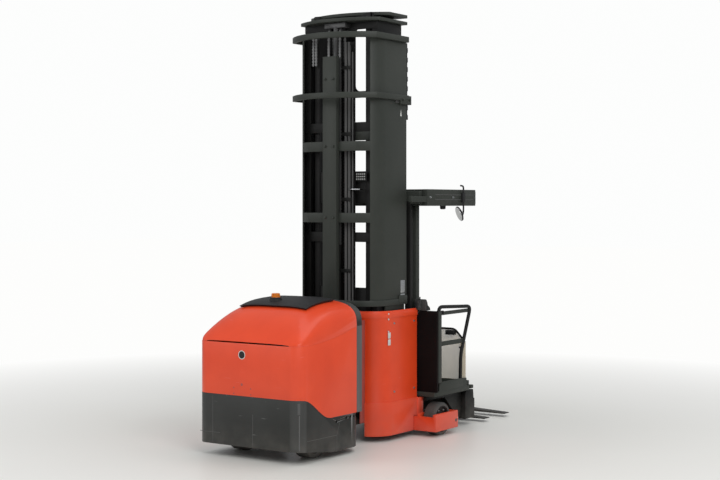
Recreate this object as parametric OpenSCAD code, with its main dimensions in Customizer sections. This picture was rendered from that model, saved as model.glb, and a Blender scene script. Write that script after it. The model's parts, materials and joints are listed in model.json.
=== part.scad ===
// Man-up very narrow aisle truck with an articulated rear unit and a turret head.
// Stations along the truck run forward from the rear bumper face, Y is to the left, Z is up.

/* [Rear unit] */
// Length of the red rear unit
rear_l = 1020; // [960:10:1060]
// Width of the rear unit
body_w = 1240; // [1160:10:1300]
// Radius of the rear corners in plan
corner_r = 120; // [80:5:150]
// Height of the skirt's lower edge above the floor
skirt_z = 60; // [40:5:90]
// Height of the seam between skirt and red panels at the rear
skirt_top = 600; // [560:10:640]
// Drop of that seam towards the front
skirt_drop = 210; // [150:10:240]
// Height of the seam between lower panels and hood at the rear
hood_seam = 1100; // [1060:10:1160]
// Rise of that seam towards the front
seam_rise = 130; // [80:10:160]
// Height of the hood's crown
hood_top = 1480; // [1440:10:1540]
// Wall of the panels and the skirt
panel_t = 12; // [8:1:16]

/* [Wheels] */
// Diameter of the drive wheels
drive_d = 360; // [320:10:380]
// Width of the drive wheels
drive_w = 150; // [120:10:180]
// Distance of the drive wheels' middle from the centre line
drive_track = 400; // [360:10:430]
// Station of the drive axle
drive_f = 450; // [400:10:500]
// Diameter of the load wheels
load_d = 340; // [300:10:350]
// Width of the load wheels
load_w = 130; // [100:10:140]
// Distance of the load wheels' middle from the centre line
load_track = 700; // [690:5:715]
// Station of the load wheels
load_f = 2300; // [2280:10:2330]

/* [Front chassis] */
// Station of the steering pivot
pivot_f = 1200; // [1190:5:1215]
// Diameter of the pivot pin
pivot_d = 90; // [60:5:100]
// Width of the shroud
shroud_w = 1080; // [1060:10:1100]
// Station of the shroud's rear face
shroud_f = 1450; // [1440:5:1470]
// Station of the shroud's front edges
shroud_front = 2160; // [2120:10:2180]
// Height of the shroud's upper rim
shroud_top = 1330; // [1280:10:1360]
// Radius of the shroud's rear corners
shroud_r = 230; // [180:10:260]

/* [Mast] */
// Width of the outer mast
mast_w = 1000; // [960:10:1010]
// Station of the mast's rear face
mast_f = 1380; // [1370:5:1400]
// Station of the mast's front edges
mast_front = 2020; // [1980:10:2040]
// Height of the outer mast
outer_top = 4160; // [3900:20:4180]
// Height of the middle mast when lowered
mid_top = 4320; // [4260:20:4320]
// Height of the inner mast when lowered
inner_top = 4390; // [4380:10:4500]
// Wall of the mast's side shells
mast_t = 14; // [10:1:18]
// Width of the mast's centre post
post_w = 170; // [140:10:190]

/* [Cab] */
// Station of the cab's back wall
cab_f = 2200; // [2190:5:2220]
// Length of the cab
cab_l = 730; // [700:10:760]
// Width of the cab
cab_w = 1520; // [1480:10:1560]
// Height of the cab's underside above the floor
cab_z = 400; // [390:5:430]
// Height of the cab's back wall
back_top = 1300; // [1250:10:1330]
// Underside of the roof guard
roof_z = 2400; // [2350:10:2450]
// Thickness of the roof guard
roof_h = 175; // [150:5:190]
// Width of the roof guard
roof_w = 1360; // [1300:10:1400]
// Station of the roof guard's front edge
roof_front = 3150; // [3050:10:3180]
// Diameter of the gates' tube
tube_d = 38; // [30:2:44]

/* [Fork end] */
// Station of the traverse frame's rear face
beam_f = 3000; // [2980:5:3020]
// Depth of the traverse frame
beam_l = 180; // [150:10:200]
// Width of the traverse frame
beam_w = 1300; // [1240:10:1320]
// Length of the forks
fork_l = 1150; // [1000:10:1200]
// Distance between the forks' middles
fork_gap = 456; // [400:4:470]
// Width of a fork
fork_w = 120; // [80:5:130]
// Thickness of a fork's blade
fork_t = 40; // [30:1:50]
// Clearance of the forks above the floor
fork_z = 35; // [30:5:60]
// Station of the turret's pivot
turret_f = 3580; // [3570:5:3600]
// Place of the turret to the left of the centre line when parked
turret_y = 560; // [520:10:570]

/* [Hidden] */

$fn = 48;

// Colours as the photo shows them
red = [0.86, 0.22, 0.11];
dark_red = [0.55, 0.12, 0.07];
mast_grey = [0.27, 0.28, 0.26];
skirt_black = [0.15, 0.15, 0.14];
frame_black = [0.10, 0.10, 0.10];
steel = [0.55, 0.56, 0.57];
amber = [1.0, 0.55, 0.05];
battery_blue = [0.2, 0.22, 0.25];
tinted = [0.55, 0.45, 0.35, 0.6];

// Running clearances
gap = 10;
pin_gap = 0.4;
seat = 0.3;

// The origin is under the middle of the whole truck
fork_edge = turret_f + fork_gap / 2 + fork_w / 2;
origin_f = fork_edge / 2;

// Places worked out from the sizes above
body_half = body_w / 2;
base_z = 420;
base_t = 50;
skirt_front = rear_l + 40;
hood_front = rear_l - 90;
shroud_half = shroud_w / 2;
shroud_t = panel_t;
mast_half = mast_w / 2;
cab_half = cab_w / 2;
cab_front = cab_f + cab_l;
floor_t = 50;
floor_top = cab_z + floor_t;
mast_foot = 250;

// Nested masts: each upright's outer face from the centre line, its width and its stations
upright_w = 70;
upright_t = 12;
mid_half = mast_half - mast_t - 30;
inner_half = mid_half - upright_w - 25;
upright_f0 = mast_f + 170;
upright_f1 = mast_front - 30;

function hood_seam_z(f) = hood_seam + seam_rise * pow(f / hood_front, 2);
function skirt_seam_z(f) = skirt_top - skirt_drop * (1 - cos(180 * min(1, max(0, (f - 50) / 450)))) / 2;

// Moves a module from stations to the truck's own frame
module placed() {
  translate([-origin_f, 0, 0]) children();
}

// Block between two corners
module block(low, high) {
  translate(low) cube(high - low);
}

// The children and their mirror image on the right
module both_sides() {
  children();
  mirror([0, 1, 0]) children();
}

// Rectangle from station f0 to f1 with half width h, its rear and front corners rounded
module rounded_plan(f0, f1, h, r_rear, r_front) {
  translate([f0 + r_rear, -h]) square([f1 - f0 - r_rear - r_front, 2 * h]);
  translate([f0, -h + r_rear]) square([r_rear + 1, 2 * (h - r_rear)]);
  translate([f1 - r_front - 1, -h + r_front]) square([r_front + 1, 2 * (h - r_front)]);
  for (side = [-1, 1]) {
    translate([f0 + r_rear, side * (h - r_rear)]) circle(r_rear);
    translate([f1 - r_front, side * (h - r_front)]) circle(r_front);
  }
}

// Cylinder along Y from y0 to y1 at a station and height
module bar_y(f, z, d, y0, y1) {
  translate([f, y0, z]) rotate([-90, 0, 0]) cylinder(d = d, h = y1 - y0);
}

// Round tube in the XZ plane through points [x, z], bent at each inner point with radius r.
// Its rings are rows of [x, z, heading], square to the path.
tube_sides = 16;
bend_steps = 7;
module bent_tube(points, d, r) {
  last = len(points) - 1;
  function heading(i) = let (v = points[i + 1] - points[i]) atan2(v[1], v[0]);
  function turn(i) = let (t = heading(i) - heading(i - 1)) t > 180 ? t - 360 : t < -180 ? t + 360 : t;
  function bend(i) = let (h = heading(i - 1), s = sign(turn(i)), trim = r * tan(abs(turn(i)) / 2),
      start = points[i] - trim * [cos(h), sin(h)], centre = start + s * r * [-sin(h), cos(h)])
    [for (k = [0 : bend_steps]) let (g = h + turn(i) * k / bend_steps)
      [centre[0] + s * r * sin(g), centre[1] - s * r * cos(g), g]];
  rings = concat([[points[0][0], points[0][1], heading(0)]],
    [for (i = [1 : 1 : last - 1]) each bend(i)],
    [[points[last][0], points[last][1], heading(last - 1)]]);
  count = len(rings);
  skin = [for (g = rings) for (j = [0 : tube_sides - 1]) let (a = 360 * j / tube_sides)
    [g[0] - d / 2 * cos(a) * sin(g[2]), d / 2 * sin(a), g[1] + d / 2 * cos(a) * cos(g[2])]];
  polyhedron(skin, concat([[for (j = [0 : tube_sides - 1]) tube_sides - 1 - j]],
    [for (i = [0 : count - 2]) for (j = [0 : tube_sides - 1]) let (k = (j + 1) % tube_sides)
      [i * tube_sides + j, i * tube_sides + k, (i + 1) * tube_sides + k, (i + 1) * tube_sides + j]],
    [[for (j = [0 : tube_sides - 1]) (count - 1) * tube_sides + j]]));
}

// Stations at which both seams are drawn
seam_stations = [for (i = [0 : 24]) (skirt_front + 10) * i / 24];

// Lugs of both frames round the pivot pin: the rear frame's lie outside the front frame's
rear_lug_z = [base_z - 20, 860];
rear_lug_t = 70;
front_lug_z = [rear_lug_z[0] + 90, rear_lug_z[1] - 80];
front_lug_t = 60;

// Frame of the rear unit: base plate, bulkheads and the two lugs
module rear_frame() {
  lug_f = rear_l - 60;
  color(frame_black) placed() {
    difference() {
      union() {
        translate([0, 0, base_z]) linear_extrude(base_t) rounded_plan(panel_t + seat, rear_l - 30,
          body_half - panel_t - seat, corner_r - panel_t - seat, 10);
        block([rear_l - 60, panel_t + seat - body_half, base_z + base_t],
          [rear_l - 30, body_half - panel_t - seat, hood_seam + 100]);
        block([60, -480, base_z + base_t], [80, 480, hood_seam - 40]);
        for (z = rear_lug_z) {
          block([lug_f, -160, z], [pivot_f, 160, z + rear_lug_t]);
          translate([pivot_f, 0, z]) cylinder(d = 2 * pivot_d, h = rear_lug_t);
        }
        for (side = [-1, 1])
          block([drive_f - 75, side * 200 - 25, 100], [drive_f + 75, side * 200 + 25, base_z]);
      }
      translate([pivot_f, 0, 0]) cylinder(d = pivot_d + 2 * pin_gap, h = hood_top);
      bar_y(drive_f, drive_d / 2, axle_tube_d + 2 * seat, -400, 400);
    }
  }
}

// Black skirt: inward curved front corners, a lower edge that rises to the rear, and air vents
skirt_front_r = 210;
skirt_rise = 60;
vent_d = 28;
// Rows of [station, height]
vents = [[586, 341], [755, 360], [820, 360], [885, 360], [945, 360]];
module skirt() {
  color(skirt_black) placed() intersection() {
    difference() {
      translate([0, 0, skirt_z]) linear_extrude(skirt_top - skirt_z)
        rounded_plan(0, skirt_front, body_half, corner_r, skirt_front_r);
      translate([0, 0, skirt_z - 1]) linear_extrude(skirt_top - skirt_z + 2)
        rounded_plan(panel_t, skirt_front - panel_t, body_half - panel_t, corner_r - panel_t,
          skirt_front_r - panel_t);
      block([rear_l - 70, -330, 0], [skirt_front + 1, 330, skirt_top]);
      both_sides() for (vent = vents)
        bar_y(vent[0], vent[1], vent_d, body_half - skirt_front_r / 2, body_half + 1);
    }
    rotate([90, 0, 0]) linear_extrude(2 * body_w, center = true)
      polygon(concat([[-10, skirt_z + skirt_rise], [-10, skirt_top]],
        [for (f = seam_stations) [f, skirt_seam_z(f)]],
        [[skirt_front + 10, skirt_z - 1], [drive_f + 110, skirt_z - 1],
          [corner_r / 2, skirt_z + skirt_rise]]));
  }
}

// Red lower panels between the skirt's seam and the hood's seam
seam_gap = 0.8;
module rear_panels() {
  color(red) placed() intersection() {
    translate([0, 0, skirt_top - skirt_drop]) linear_extrude(hood_seam + seam_rise) difference() {
      rounded_plan(0, hood_front, body_half, corner_r, 2);
      rounded_plan(panel_t, hood_front + 40, body_half - panel_t, corner_r - panel_t, 2);
    }
    rotate([90, 0, 0]) linear_extrude(2 * body_w, center = true)
      polygon(concat([for (f = seam_stations) [f, skirt_seam_z(f) + seat]],
        [for (i = [24 : -1 : 0]) let (f = min(seam_stations[i], hood_front)) [seam_stations[i],
          hood_seam_z(f) - seam_gap]]));
  }
}

// Hood surface: superellipses over the seam, closed down towards the rear
hood_n = 14;
hood_m = 24;
function hood_crown(f) = hood_seam + panel_t + 2
  + (hood_top - hood_seam - panel_t - 2) * (1 - pow(1 - f / rear_l, 3.4));
function hood_half(f) = f < corner_r
  ? body_half - corner_r + sqrt(pow(corner_r, 2) - pow(corner_r - f, 2)) : body_half;
function sign_pow(v, e) = sign(v) * pow(abs(v), e);
function hood_point(f, a, t) =
  let (low = hood_seam_z(f), h = hood_crown(f) - low - t, w = hood_half(f) - t)
  [f, w * sign_pow(cos(a), 0.55), low + max(0, h) * pow(sin(a), 0.62)];

// Sheet of the hood surface from f0 to f1 and angle a0 to a1, between two depths below it
module hood_sheet(f0, f1, a0, a1, n, m, t_out, t_in) {
  function station(i, t) = f0 + t * (1 - i / n) + (f1 - f0) * pow(i / n, 1.5);
  function layer(t) = [for (i = [0 : n]) for (j = [0 : m])
    hood_point(max(0, station(i, t)), a0 + (a1 - a0) * j / m, t)];
  row = m + 1;
  count = (n + 1) * row;
  sheet = [for (i = [0 : n - 1]) for (j = [0 : m - 1])
    [(i + 1) * row + j, (i + 1) * row + j + 1, i * row + j + 1, i * row + j]];
  under = [for (q = sheet) [q[3] + count, q[2] + count, q[1] + count, q[0] + count]];
  ends = [for (j = [0 : m - 1]) for (i = [0, n]) let (a = i * row + j)
    i == 0 ? [a + 1 + count, a + count, a, a + 1] : [a + count, a + 1 + count, a + 1, a]];
  sides = [for (i = [0 : n - 1]) for (j = [0, m]) let (a = i * row + j, b = a + row)
    j == 0 ? [a + count, b + count, b, a] : [b + count, a + count, a, b]];
  polyhedron(concat(layer(t_out), layer(t_in)), concat(sheet, under, ends, sides));
}

// Red top hood
module top_hood() {
  color(red) placed() hood_sheet(0, hood_front, 0, 180, hood_n, hood_m, 0, panel_t);
}

// Black tray on the hood, which carries the beacon
tray_t = 24;
beacon_f = 560;
beacon_y = 90;
boss_h = 14;
tray_gap = 1.7;
module hood_tray() {
  color(frame_black) placed() {
    hood_sheet(430, hood_front - 60, 62, 114, 6, 8, -tray_t, -tray_gap);
    translate([beacon_f, beacon_y, hood_crown(beacon_f) + tray_t - 14])
      cylinder(d = 124, h = boss_h + 14);
  }
}

// Amber beacon on a black base
module beacon() {
  foot_z = hood_crown(beacon_f) + tray_t + boss_h;
  color(amber) placed() translate([beacon_f, beacon_y, foot_z]) {
    cylinder(d = 110, h = 12);
    translate([0, 0, 12]) cylinder(d1 = 92, d2 = 80, h = 40);
  }
}

// Seal strip round the hood's front edge, with a leg down each side to the skirt
module seal_strip() {
  color(frame_black) placed() {
    both_sides() block([hood_front + 4, body_half - panel_t, skirt_top - skirt_drop + seat],
      [rear_l, body_half, hood_seam_z(hood_front) + 1]);
    difference() {
      translate([hood_front + 4, 0, 0]) rotate([90, 0, 90]) linear_extrude(rear_l - hood_front - 4)
        polygon(concat([[body_half, hood_seam_z(hood_front)]],
          [for (j = [1 : hood_m - 1]) let (p = hood_point(hood_front, 180 * j / hood_m, 0)) [p[1], p[2]]],
          [[-body_half, hood_seam_z(hood_front)]]));
      translate([hood_front - 1, 0, 0]) rotate([90, 0, 90]) linear_extrude(rear_l)
        polygon(concat([[body_half - 40, 0]],
          [for (j = [1 : hood_m - 1]) let (p = hood_point(hood_front, 180 * j / hood_m, 40)) [p[1], p[2]]],
          [[40 - body_half, 0]]));
    }
  }
}

// Battery as one plain block on the base plate
battery_h = 560;
battery_half = 480;
module battery_block() {
  color(battery_blue) placed()
    block([120, -battery_half, base_z + base_t], [870, battery_half, base_z + base_t + battery_h]);
}

// Drive axle: a beam through the frame's brackets with the motor housing on it
axle_half = drive_track - drive_w / 2 - gap;
axle_tube_d = 108;
stub_d = 70;
module drive_axle() {
  color(frame_black) placed() {
    bar_y(drive_f, drive_d / 2, axle_tube_d, -axle_half, axle_half);
    bar_y(drive_f, drive_d / 2, stub_d, -drive_track - 40, drive_track + 40);
    translate([drive_f, 0, drive_d / 2]) sphere(d = 230);
  }
}

// Wheel on an axle: a steel hub with its bore and a plain tyre round it
module wheel(f, y, d, w, tyre_t, bore) {
  placed() translate([f, y, d / 2]) rotate([90, 0, 0]) {
    color(frame_black) rotate_extrude($fn = 64)
      polygon([[d / 2 - tyre_t, -w / 2], [d / 2 - 8, -w / 2], [d / 2, 8 - w / 2],
        [d / 2, w / 2 - 8], [d / 2 - 8, w / 2], [d / 2 - tyre_t, w / 2]]);
    color(steel) difference() {
      cylinder(r = d / 2 - tyre_t, h = w - 20, center = true);
      cylinder(d = bore + 2 * pin_gap, h = w, center = true);
    }
  }
}
module drive_wheel_left() { wheel(drive_f, drive_track, drive_d, drive_w, 45, stub_d); }
module drive_wheel_right() { wheel(drive_f, -drive_track, drive_d, drive_w, 45, stub_d); }

// Frame of the front chassis: foot plate, column and the two lugs that hold the pivot pin
foot_half = shroud_half - shroud_t - seat;
module front_frame() {
  column_f = pivot_f + 130;
  color(frame_black) placed() {
    block([shroud_f + shroud_r, -foot_half, 180], [shroud_front - 20, foot_half, mast_foot]);
    block([column_f, -300, 180], [shroud_f + shroud_r + 1, 300, mast_foot]);
    block([column_f, -200, mast_foot], [column_f + 50, 200, rear_lug_z[1] + 40]);
    for (z = front_lug_z) {
      block([pivot_f, -pivot_d, z], [column_f + 10, pivot_d, z + front_lug_t]);
      translate([pivot_f, 0, z]) cylinder(d = 2 * pivot_d, h = front_lug_t);
    }
    translate([pivot_f, 0, rear_lug_z[0] - 10])
      cylinder(d = pivot_d, h = rear_lug_z[1] + rear_lug_t + 30 - rear_lug_z[0]);
  }
}

// Red shroud round the mast foot: open to the front, with a rim at the top and a step below
module shroud_ring(z0, z1, out) {
  translate([0, 0, z0]) linear_extrude(z1 - z0) difference() {
    rounded_plan(shroud_f - out, shroud_front, shroud_half + out, shroud_r + out, 2);
    rounded_plan(shroud_f + shroud_t, shroud_front + 40, shroud_half - shroud_t,
      shroud_r - shroud_t, 2);
    translate([shroud_front - 4, -shroud_half + shroud_t]) square([50, shroud_w - 2 * shroud_t]);
  }
}
shroud_step_z = 400;
rim_h = 55;
module shroud() {
  color(red) placed() difference() {
    union() {
      shroud_ring(skirt_z, shroud_step_z, 10);
      shroud_ring(shroud_step_z, shroud_top, 0);
      shroud_ring(shroud_top - rim_h - 15, shroud_top - 15, 8);
    }
    both_sides() block([arm_f0 - 4, shroud_half - 50, load_plate_z0 - 4],
      [arm_f1 + 4, shroud_half + 50, load_plate_z1 - 26]);
    block([shroud_f - 20, -neck_half, skirt_z - 1], [shroud_f + 20, neck_half, neck_top]);
    block([shroud_f - 20, -cyl_d / 2 - gap, neck_top - 10],
      [shroud_f + 20, cyl_d / 2 + gap, shroud_top + 1]);
  }
}

// Dark red cover of the neck between the pivot and the shroud, let into the shroud's rear wall
neck_half = 360;
neck_top = 1240;
module neck_cover() {
  color(dark_red) placed() difference() {
    block([pivot_f + 170, seat - neck_half, 200], [shroud_f + panel_t, neck_half - seat, neck_top - seat]);
    block([pivot_f + 169, panel_t - neck_half, 199],
      [shroud_f + panel_t + 1, neck_half - panel_t, neck_top - panel_t]);
    block([cyl_f - cyl_d / 2 - gap, -cyl_d / 2 - gap, neck_top - 40],
      [shroud_f + panel_t + 1, cyl_d / 2 + gap, neck_top + 1]);
  }
}

// Red bracket beside the shroud, which carries a load wheel between two plates
load_plate_z0 = 60;
load_plate_z1 = 236;
load_out = load_track + load_w / 2 + gap + 45;
load_in = load_track - load_w / 2 - gap - 15;
arm_f0 = load_f - load_d / 2 - 50;
arm_f1 = load_f - load_d / 2 - gap;
load_end = load_f + load_d / 2 + 60;
axle_d = 50;
module load_bracket() {
  color(red) placed() {
    block([arm_f0, foot_half, load_plate_z0], [arm_f1, load_out, load_plate_z1 - 30]);
    block([arm_f0, load_out - 35, load_plate_z0], [load_end, load_out, load_plate_z1]);
    block([arm_f0, load_in - 10, load_plate_z0], [load_end, load_in, load_plate_z1]);
    block([load_end - 20, load_in - 10, load_plate_z0 + 30], [load_end, load_out, load_plate_z1]);
    bar_y(load_f, load_d / 2, axle_d, load_in - 1, load_out - 30);
  }
}
module load_bracket_left() { load_bracket(); }
module load_bracket_right() { mirror([0, 1, 0]) load_bracket(); }

// Load wheels run on the brackets' axles
module load_wheel_left() { wheel(load_f, load_track, load_d, load_w, 35, axle_d); }
module load_wheel_right() { wheel(load_f, -load_track, load_d, load_w, 35, axle_d); }

// Side shell of the outer mast with its rounded rear corner
mast_r = 100;
shell_z0 = shroud_top + 50;
shell_lip = 425;
module mast_shell() {
  color(mast_grey) placed() translate([0, 0, shell_z0]) linear_extrude(outer_top - shell_z0)
    difference() {
      rounded_plan(mast_f, mast_front, mast_half, mast_r, 2);
      rounded_plan(mast_f + mast_t, mast_front + 40, mast_half - mast_t, mast_r - mast_t, 2);
      translate([mast_front - 4, -mast_half + mast_t]) square([60, mast_w - 2 * mast_t]);
      translate([mast_f - 1, -mast_half - 1]) square([mast_front - mast_f + 60, mast_half + 1 + shell_lip]);
    }
}
module mast_shell_left() { mast_shell(); }
module mast_shell_right() { mirror([0, 1, 0]) mast_shell(); }

// Outer uprights, centre post and crossbars
bar_t = 30;
// Rows of [lower edge, upper edge]
crossbars = [[2230, 2330], [2960, 3060]];
post_top = outer_top - 230;
module mast_ladder() {
  outer = mast_half - mast_t - seat;
  color(mast_grey) placed() {
    both_sides() {
      block([upright_f0 + 60, outer - 20, mast_foot], [mast_front - 20, outer, outer_top]);
      block([upright_f0 - 30, outer - 20, shell_z0 + 60], [upright_f0 + 61, outer, outer_top]);
      block([upright_f0 - 30, outer - 60, shell_z0 + 60], [upright_f0 - 20, outer - 19, outer_top]);
    }
    for (bar = crossbars)
      block([mast_f, -shell_lip, bar[0]], [mast_f + bar_t, shell_lip, bar[1]]);
    difference() {
      block([mast_f - 45, -post_w / 2, shell_z0 + 60], [mast_f + 12, post_w / 2, post_top]);
      block([mast_f - 46, -post_w, ring_levels[1][0] - seat],
        [mast_f, post_w, ring_levels[1][1] + seat]);
    }
  }
}

// Rings round the mast, D-shaped in plan and open to the front.
// Rows of [lower edge, upper edge, thickness]
ring_z = 3490;
ring_levels = [[shell_z0, shell_z0 + 60, 8], [ring_z, ring_z + 60, 35],
  [outer_top - 50, outer_top, 35]];
module mast_rings() {
  color(mast_grey) placed() for (ring = ring_levels)
    translate([0, 0, ring[0]]) linear_extrude(ring[1] - ring[0]) difference() {
      rounded_plan(mast_f - ring[2], mast_front, mast_half + ring[2], mast_r + ring[2], 2);
      rounded_plan(mast_f - seat, mast_front + 60, mast_half + seat, mast_r + seat, 2);
      translate([mast_front - 4, -mast_half - seat]) square([60, mast_w + 2 * seat]);
    }
}

// Lift cylinder behind the centre post, with the rod's bore
cyl_f = mast_f + 82;
cyl_d = 96;
rod_d = 64;
cyl_top = outer_top - 260;
module lift_cylinder() {
  color(frame_black) placed() translate([cyl_f, 0, mast_foot]) difference() {
    cylinder(d = cyl_d, h = cyl_top - mast_foot);
    translate([0, 0, 40]) cylinder(d = rod_d + 2 * seat, h = cyl_top);
  }
}

// Middle mast: two channels with crossbars behind the inner mast
module channel(half, z0, z1, f0, f1) {
  both_sides() {
    block([f0, half - upright_t, z0], [f1, half, z1]);
    block([f0, half - upright_w, z0], [f0 + 16, half, z1]);
    block([f1 - 16, half - upright_w, z0], [f1, half, z1]);
  }
}
mid_foot = mast_foot + 20;
// Rows of [lower edge, upper edge]
mid_bars = [[2030, 2130], [3160, 3260], [mid_top - 110, mid_top]];
module mid_mast() {
  color(frame_black) placed() {
    channel(mid_half, mid_foot, mid_top, upright_f0 - 10, upright_f1);
    for (bar = mid_bars)
      block([upright_f0 - 16, -mid_half, bar[0]], [upright_f0 - 4, mid_half, bar[1]]);
  }
}

// Rod of the lift cylinder with the crosshead and the chain sheaves, fixed to the middle mast
module lift_rod() {
  color(steel) placed() {
    translate([cyl_f, 0, mid_foot + 60]) cylinder(d = rod_d, h = mid_top - 140 - mid_foot);
    block([cyl_f - 30, -130, mid_top - 90], [upright_f0 - 16, 130, mid_top - 40]);
    both_sides() bar_y(cyl_f + 10, mid_top - 130, 90, 60, 80);
  }
}

// Inner mast: two channels joined by tie plates, the upper one with a long slot
inner_foot = mid_foot + 30;
tie_f = upright_f0 + 40;
// Rows of [lower edge, upper edge, slot's lower end, slot's upper end], the slot left out at 0
tie_plates = [[3240, inner_top, 3620, inner_top - 160], [2430, 2750, 0, 0], [inner_foot, 1560, 0, 0]];
slot_w = 215;
slot_r = 60;
roller_d = 100;
roller_f = upright_f1 - 16 - seat - roller_d / 2;
module inner_mast() {
  color(frame_black) placed() {
    channel(inner_half, inner_foot, inner_top, upright_f0 + 20, upright_f1);
    both_sides() for (z = [inner_foot + 80, inner_foot + 900])
      bar_y(roller_f, z, roller_d, inner_half - 1, mid_half - upright_t - 10);
    for (tie = tie_plates) difference() {
      block([tie_f - 12, 1 - inner_half, tie[0]], [tie_f, inner_half - 1, tie[1]]);
      if (tie[3] > 0) {
        block([tie_f - 20, -slot_w / 2, tie[2] + slot_r], [tie_f + 20, slot_w / 2, tie[3] - slot_r]);
        for (z = [tie[2] + slot_r, tie[3] - slot_r]) for (side = [-1, 1])
          translate([tie_f - 20, side * (slot_w / 2 - slot_r), z]) rotate([0, 90, 0])
            cylinder(r = slot_r, h = 40);
        block([tie_f - 20, slot_r - slot_w / 2, tie[2]], [tie_f + 20, slot_w / 2 - slot_r, tie[3]]);
      }
    }
  }
}

// Hose chain along the mast's right front edge, its links face to face
chain_z = 3300;
chain_links = 16;
link_l = 50;
module hose_chain() {
  color(frame_black) placed() for (i = [0 : chain_links - 1]) {
    inset = 4 * (i % 2);
    block([mast_front + seat, 10 + inset - mast_half, chain_z + link_l * i - 0.1],
      [mast_front + 44 - inset, 70 - inset - mast_half, chain_z + link_l * (i + 1)]);
  }
}

// Cab carriage: two roller plates in the inner mast, tied to the cab's back
carriage_half = inner_half - upright_w - gap;
module cab_carriage() {
  color(frame_black) placed() {
    both_sides() {
      block([tie_f + 20, carriage_half - 20, floor_top + 40], [cab_f, carriage_half, back_top - 60]);
      for (z = [floor_top + 120, back_top - 160])
        bar_y(roller_f, z, roller_d, carriage_half - 1, inner_half - upright_t - 10);
    }
    for (z = [floor_top + 40, back_top - 140])
      block([mast_front + 60, -carriage_half, z], [cab_f, carriage_half, z + 60]);
  }
}

// Cab floor with its mat, its side beams and the front step
mat_t = 12;
module cab_floor() {
  color(mast_grey) placed() {
    block([cab_f + 110, 70 - cab_half, floor_top - 1],
      [cab_front - desk_l - 5, cab_half - 70, floor_top + mat_t]);
    block([cab_f, -cab_half + 30, cab_z], [cab_front, cab_half - 30, floor_top]);
    both_sides() block([cab_f + 100, cab_half - 60, floor_top - 1],
      [cab_front - 60, cab_half - 30, floor_top + 90]);
    block([cab_front - 50, -cab_half + 60, floor_top - 1], [cab_front, cab_half - 60, floor_top + 60]);
    both_sides() block([cab_front - 40, cab_half - 110, cab_z],
      [cab_front + 40, cab_half - 60, cab_z + 40]);
  }
}

// Back wall of the cab with its side posts
module cab_back() {
  color(frame_black) placed() {
    block([cab_f, -cab_half, floor_top + seat], [cab_f + 30, cab_half, back_top]);
    both_sides() {
      block([cab_f + 30, cab_half - 30, floor_top + 90 + seat], [cab_f + 98, cab_half, back_top]);
      block([cab_f + 97, cab_half - 18, hinge_z - 20], [hinge_f + 15, cab_half, hinge_z + 20]);
      bar_y(hinge_f, hinge_z, hinge_pin_d, gate_y - 30, cab_half - 17);
    }
  }
}

// Posts from the floor to the roof
cab_post_y = 450;
module cab_posts() {
  color(mast_grey) placed() both_sides()
    block([cab_f + 30 + seat, cab_post_y - 35, floor_top + seat], [cab_f + 100, cab_post_y + 35, roof_z]);
}

// Roof guard: side beams, end beams and bars, with two lugs beside the mast
bar_pitch = 125;
roof_bar = [24, 40];
module roof_guard() {
  roof_half = roof_w / 2;
  color(mast_grey) placed() {
    both_sides() {
      block([cab_f - 60, roof_half - 60, roof_z], [roof_front, roof_half, roof_z + roof_h]);
      block([mast_front - 170, roof_half - 50, roof_z + 40], [cab_f - 59, roof_half - 10, roof_z + 100]);
    }
    block([cab_f - 20, -roof_half + 59, roof_z], [cab_f + 110, roof_half - 59, roof_z + roof_h]);
    block([roof_front - 60, -roof_half + 59, roof_z], [roof_front, roof_half - 59, roof_z + roof_h]);
    for (i = [-4 : 4])
      block([cab_f + 109, i * bar_pitch - roof_bar[0] / 2, roof_z + roof_h - roof_bar[1]],
        [roof_front - 59, i * bar_pitch + roof_bar[0] / 2, roof_z + roof_h]);
  }
}

// Tinted front panel on the front step
panel_top = 1060;
module front_panel() {
  color(tinted) placed()
    block([cab_front - 30, -cab_half + 70, floor_top + 60 + seat],
      [cab_front - 20, cab_half - 70, panel_top]);
}

// Control console behind the front panel
desk_z = 880;
desk_l = 190;
module console() {
  color(frame_black) placed() {
    block([cab_front - desk_l, -330, desk_z], [cab_front - 30 - seat, 330, desk_z + 120]);
    block([cab_front - 60, -200, floor_top + 60 + seat], [cab_front - 30 - seat, 200, desk_z + 1]);
  }
}

// Side gate: a bent tube with two flat bars, hinged at the rear post
hinge_f = cab_f + 125;
gate_y = cab_half - 36 - tube_d / 2;
hinge_pin_d = 16;
gate_bend = 60;
hinge_z = back_top - 20;
gate_points = [[hinge_f, back_top - 380], [hinge_f, back_top + 40], [cab_front - 20, back_top + 10],
  [cab_front - 165, back_top - 480], [cab_front - 205, floor_top + 130]];
module gate() {
  color(frame_black) placed() translate([0, gate_y, 0]) {
    difference() {
      bent_tube(gate_points, tube_d, gate_bend);
      bar_y(hinge_f, hinge_z, hinge_pin_d + 2 * pin_gap, -40, 40);
    }
    block([hinge_f, -5, back_top - 380], [cab_front - 140, 5, back_top - 330]);
  }
}
module gate_left() { gate(); }
module gate_right() { mirror([0, 1, 0]) gate(); }

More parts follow.
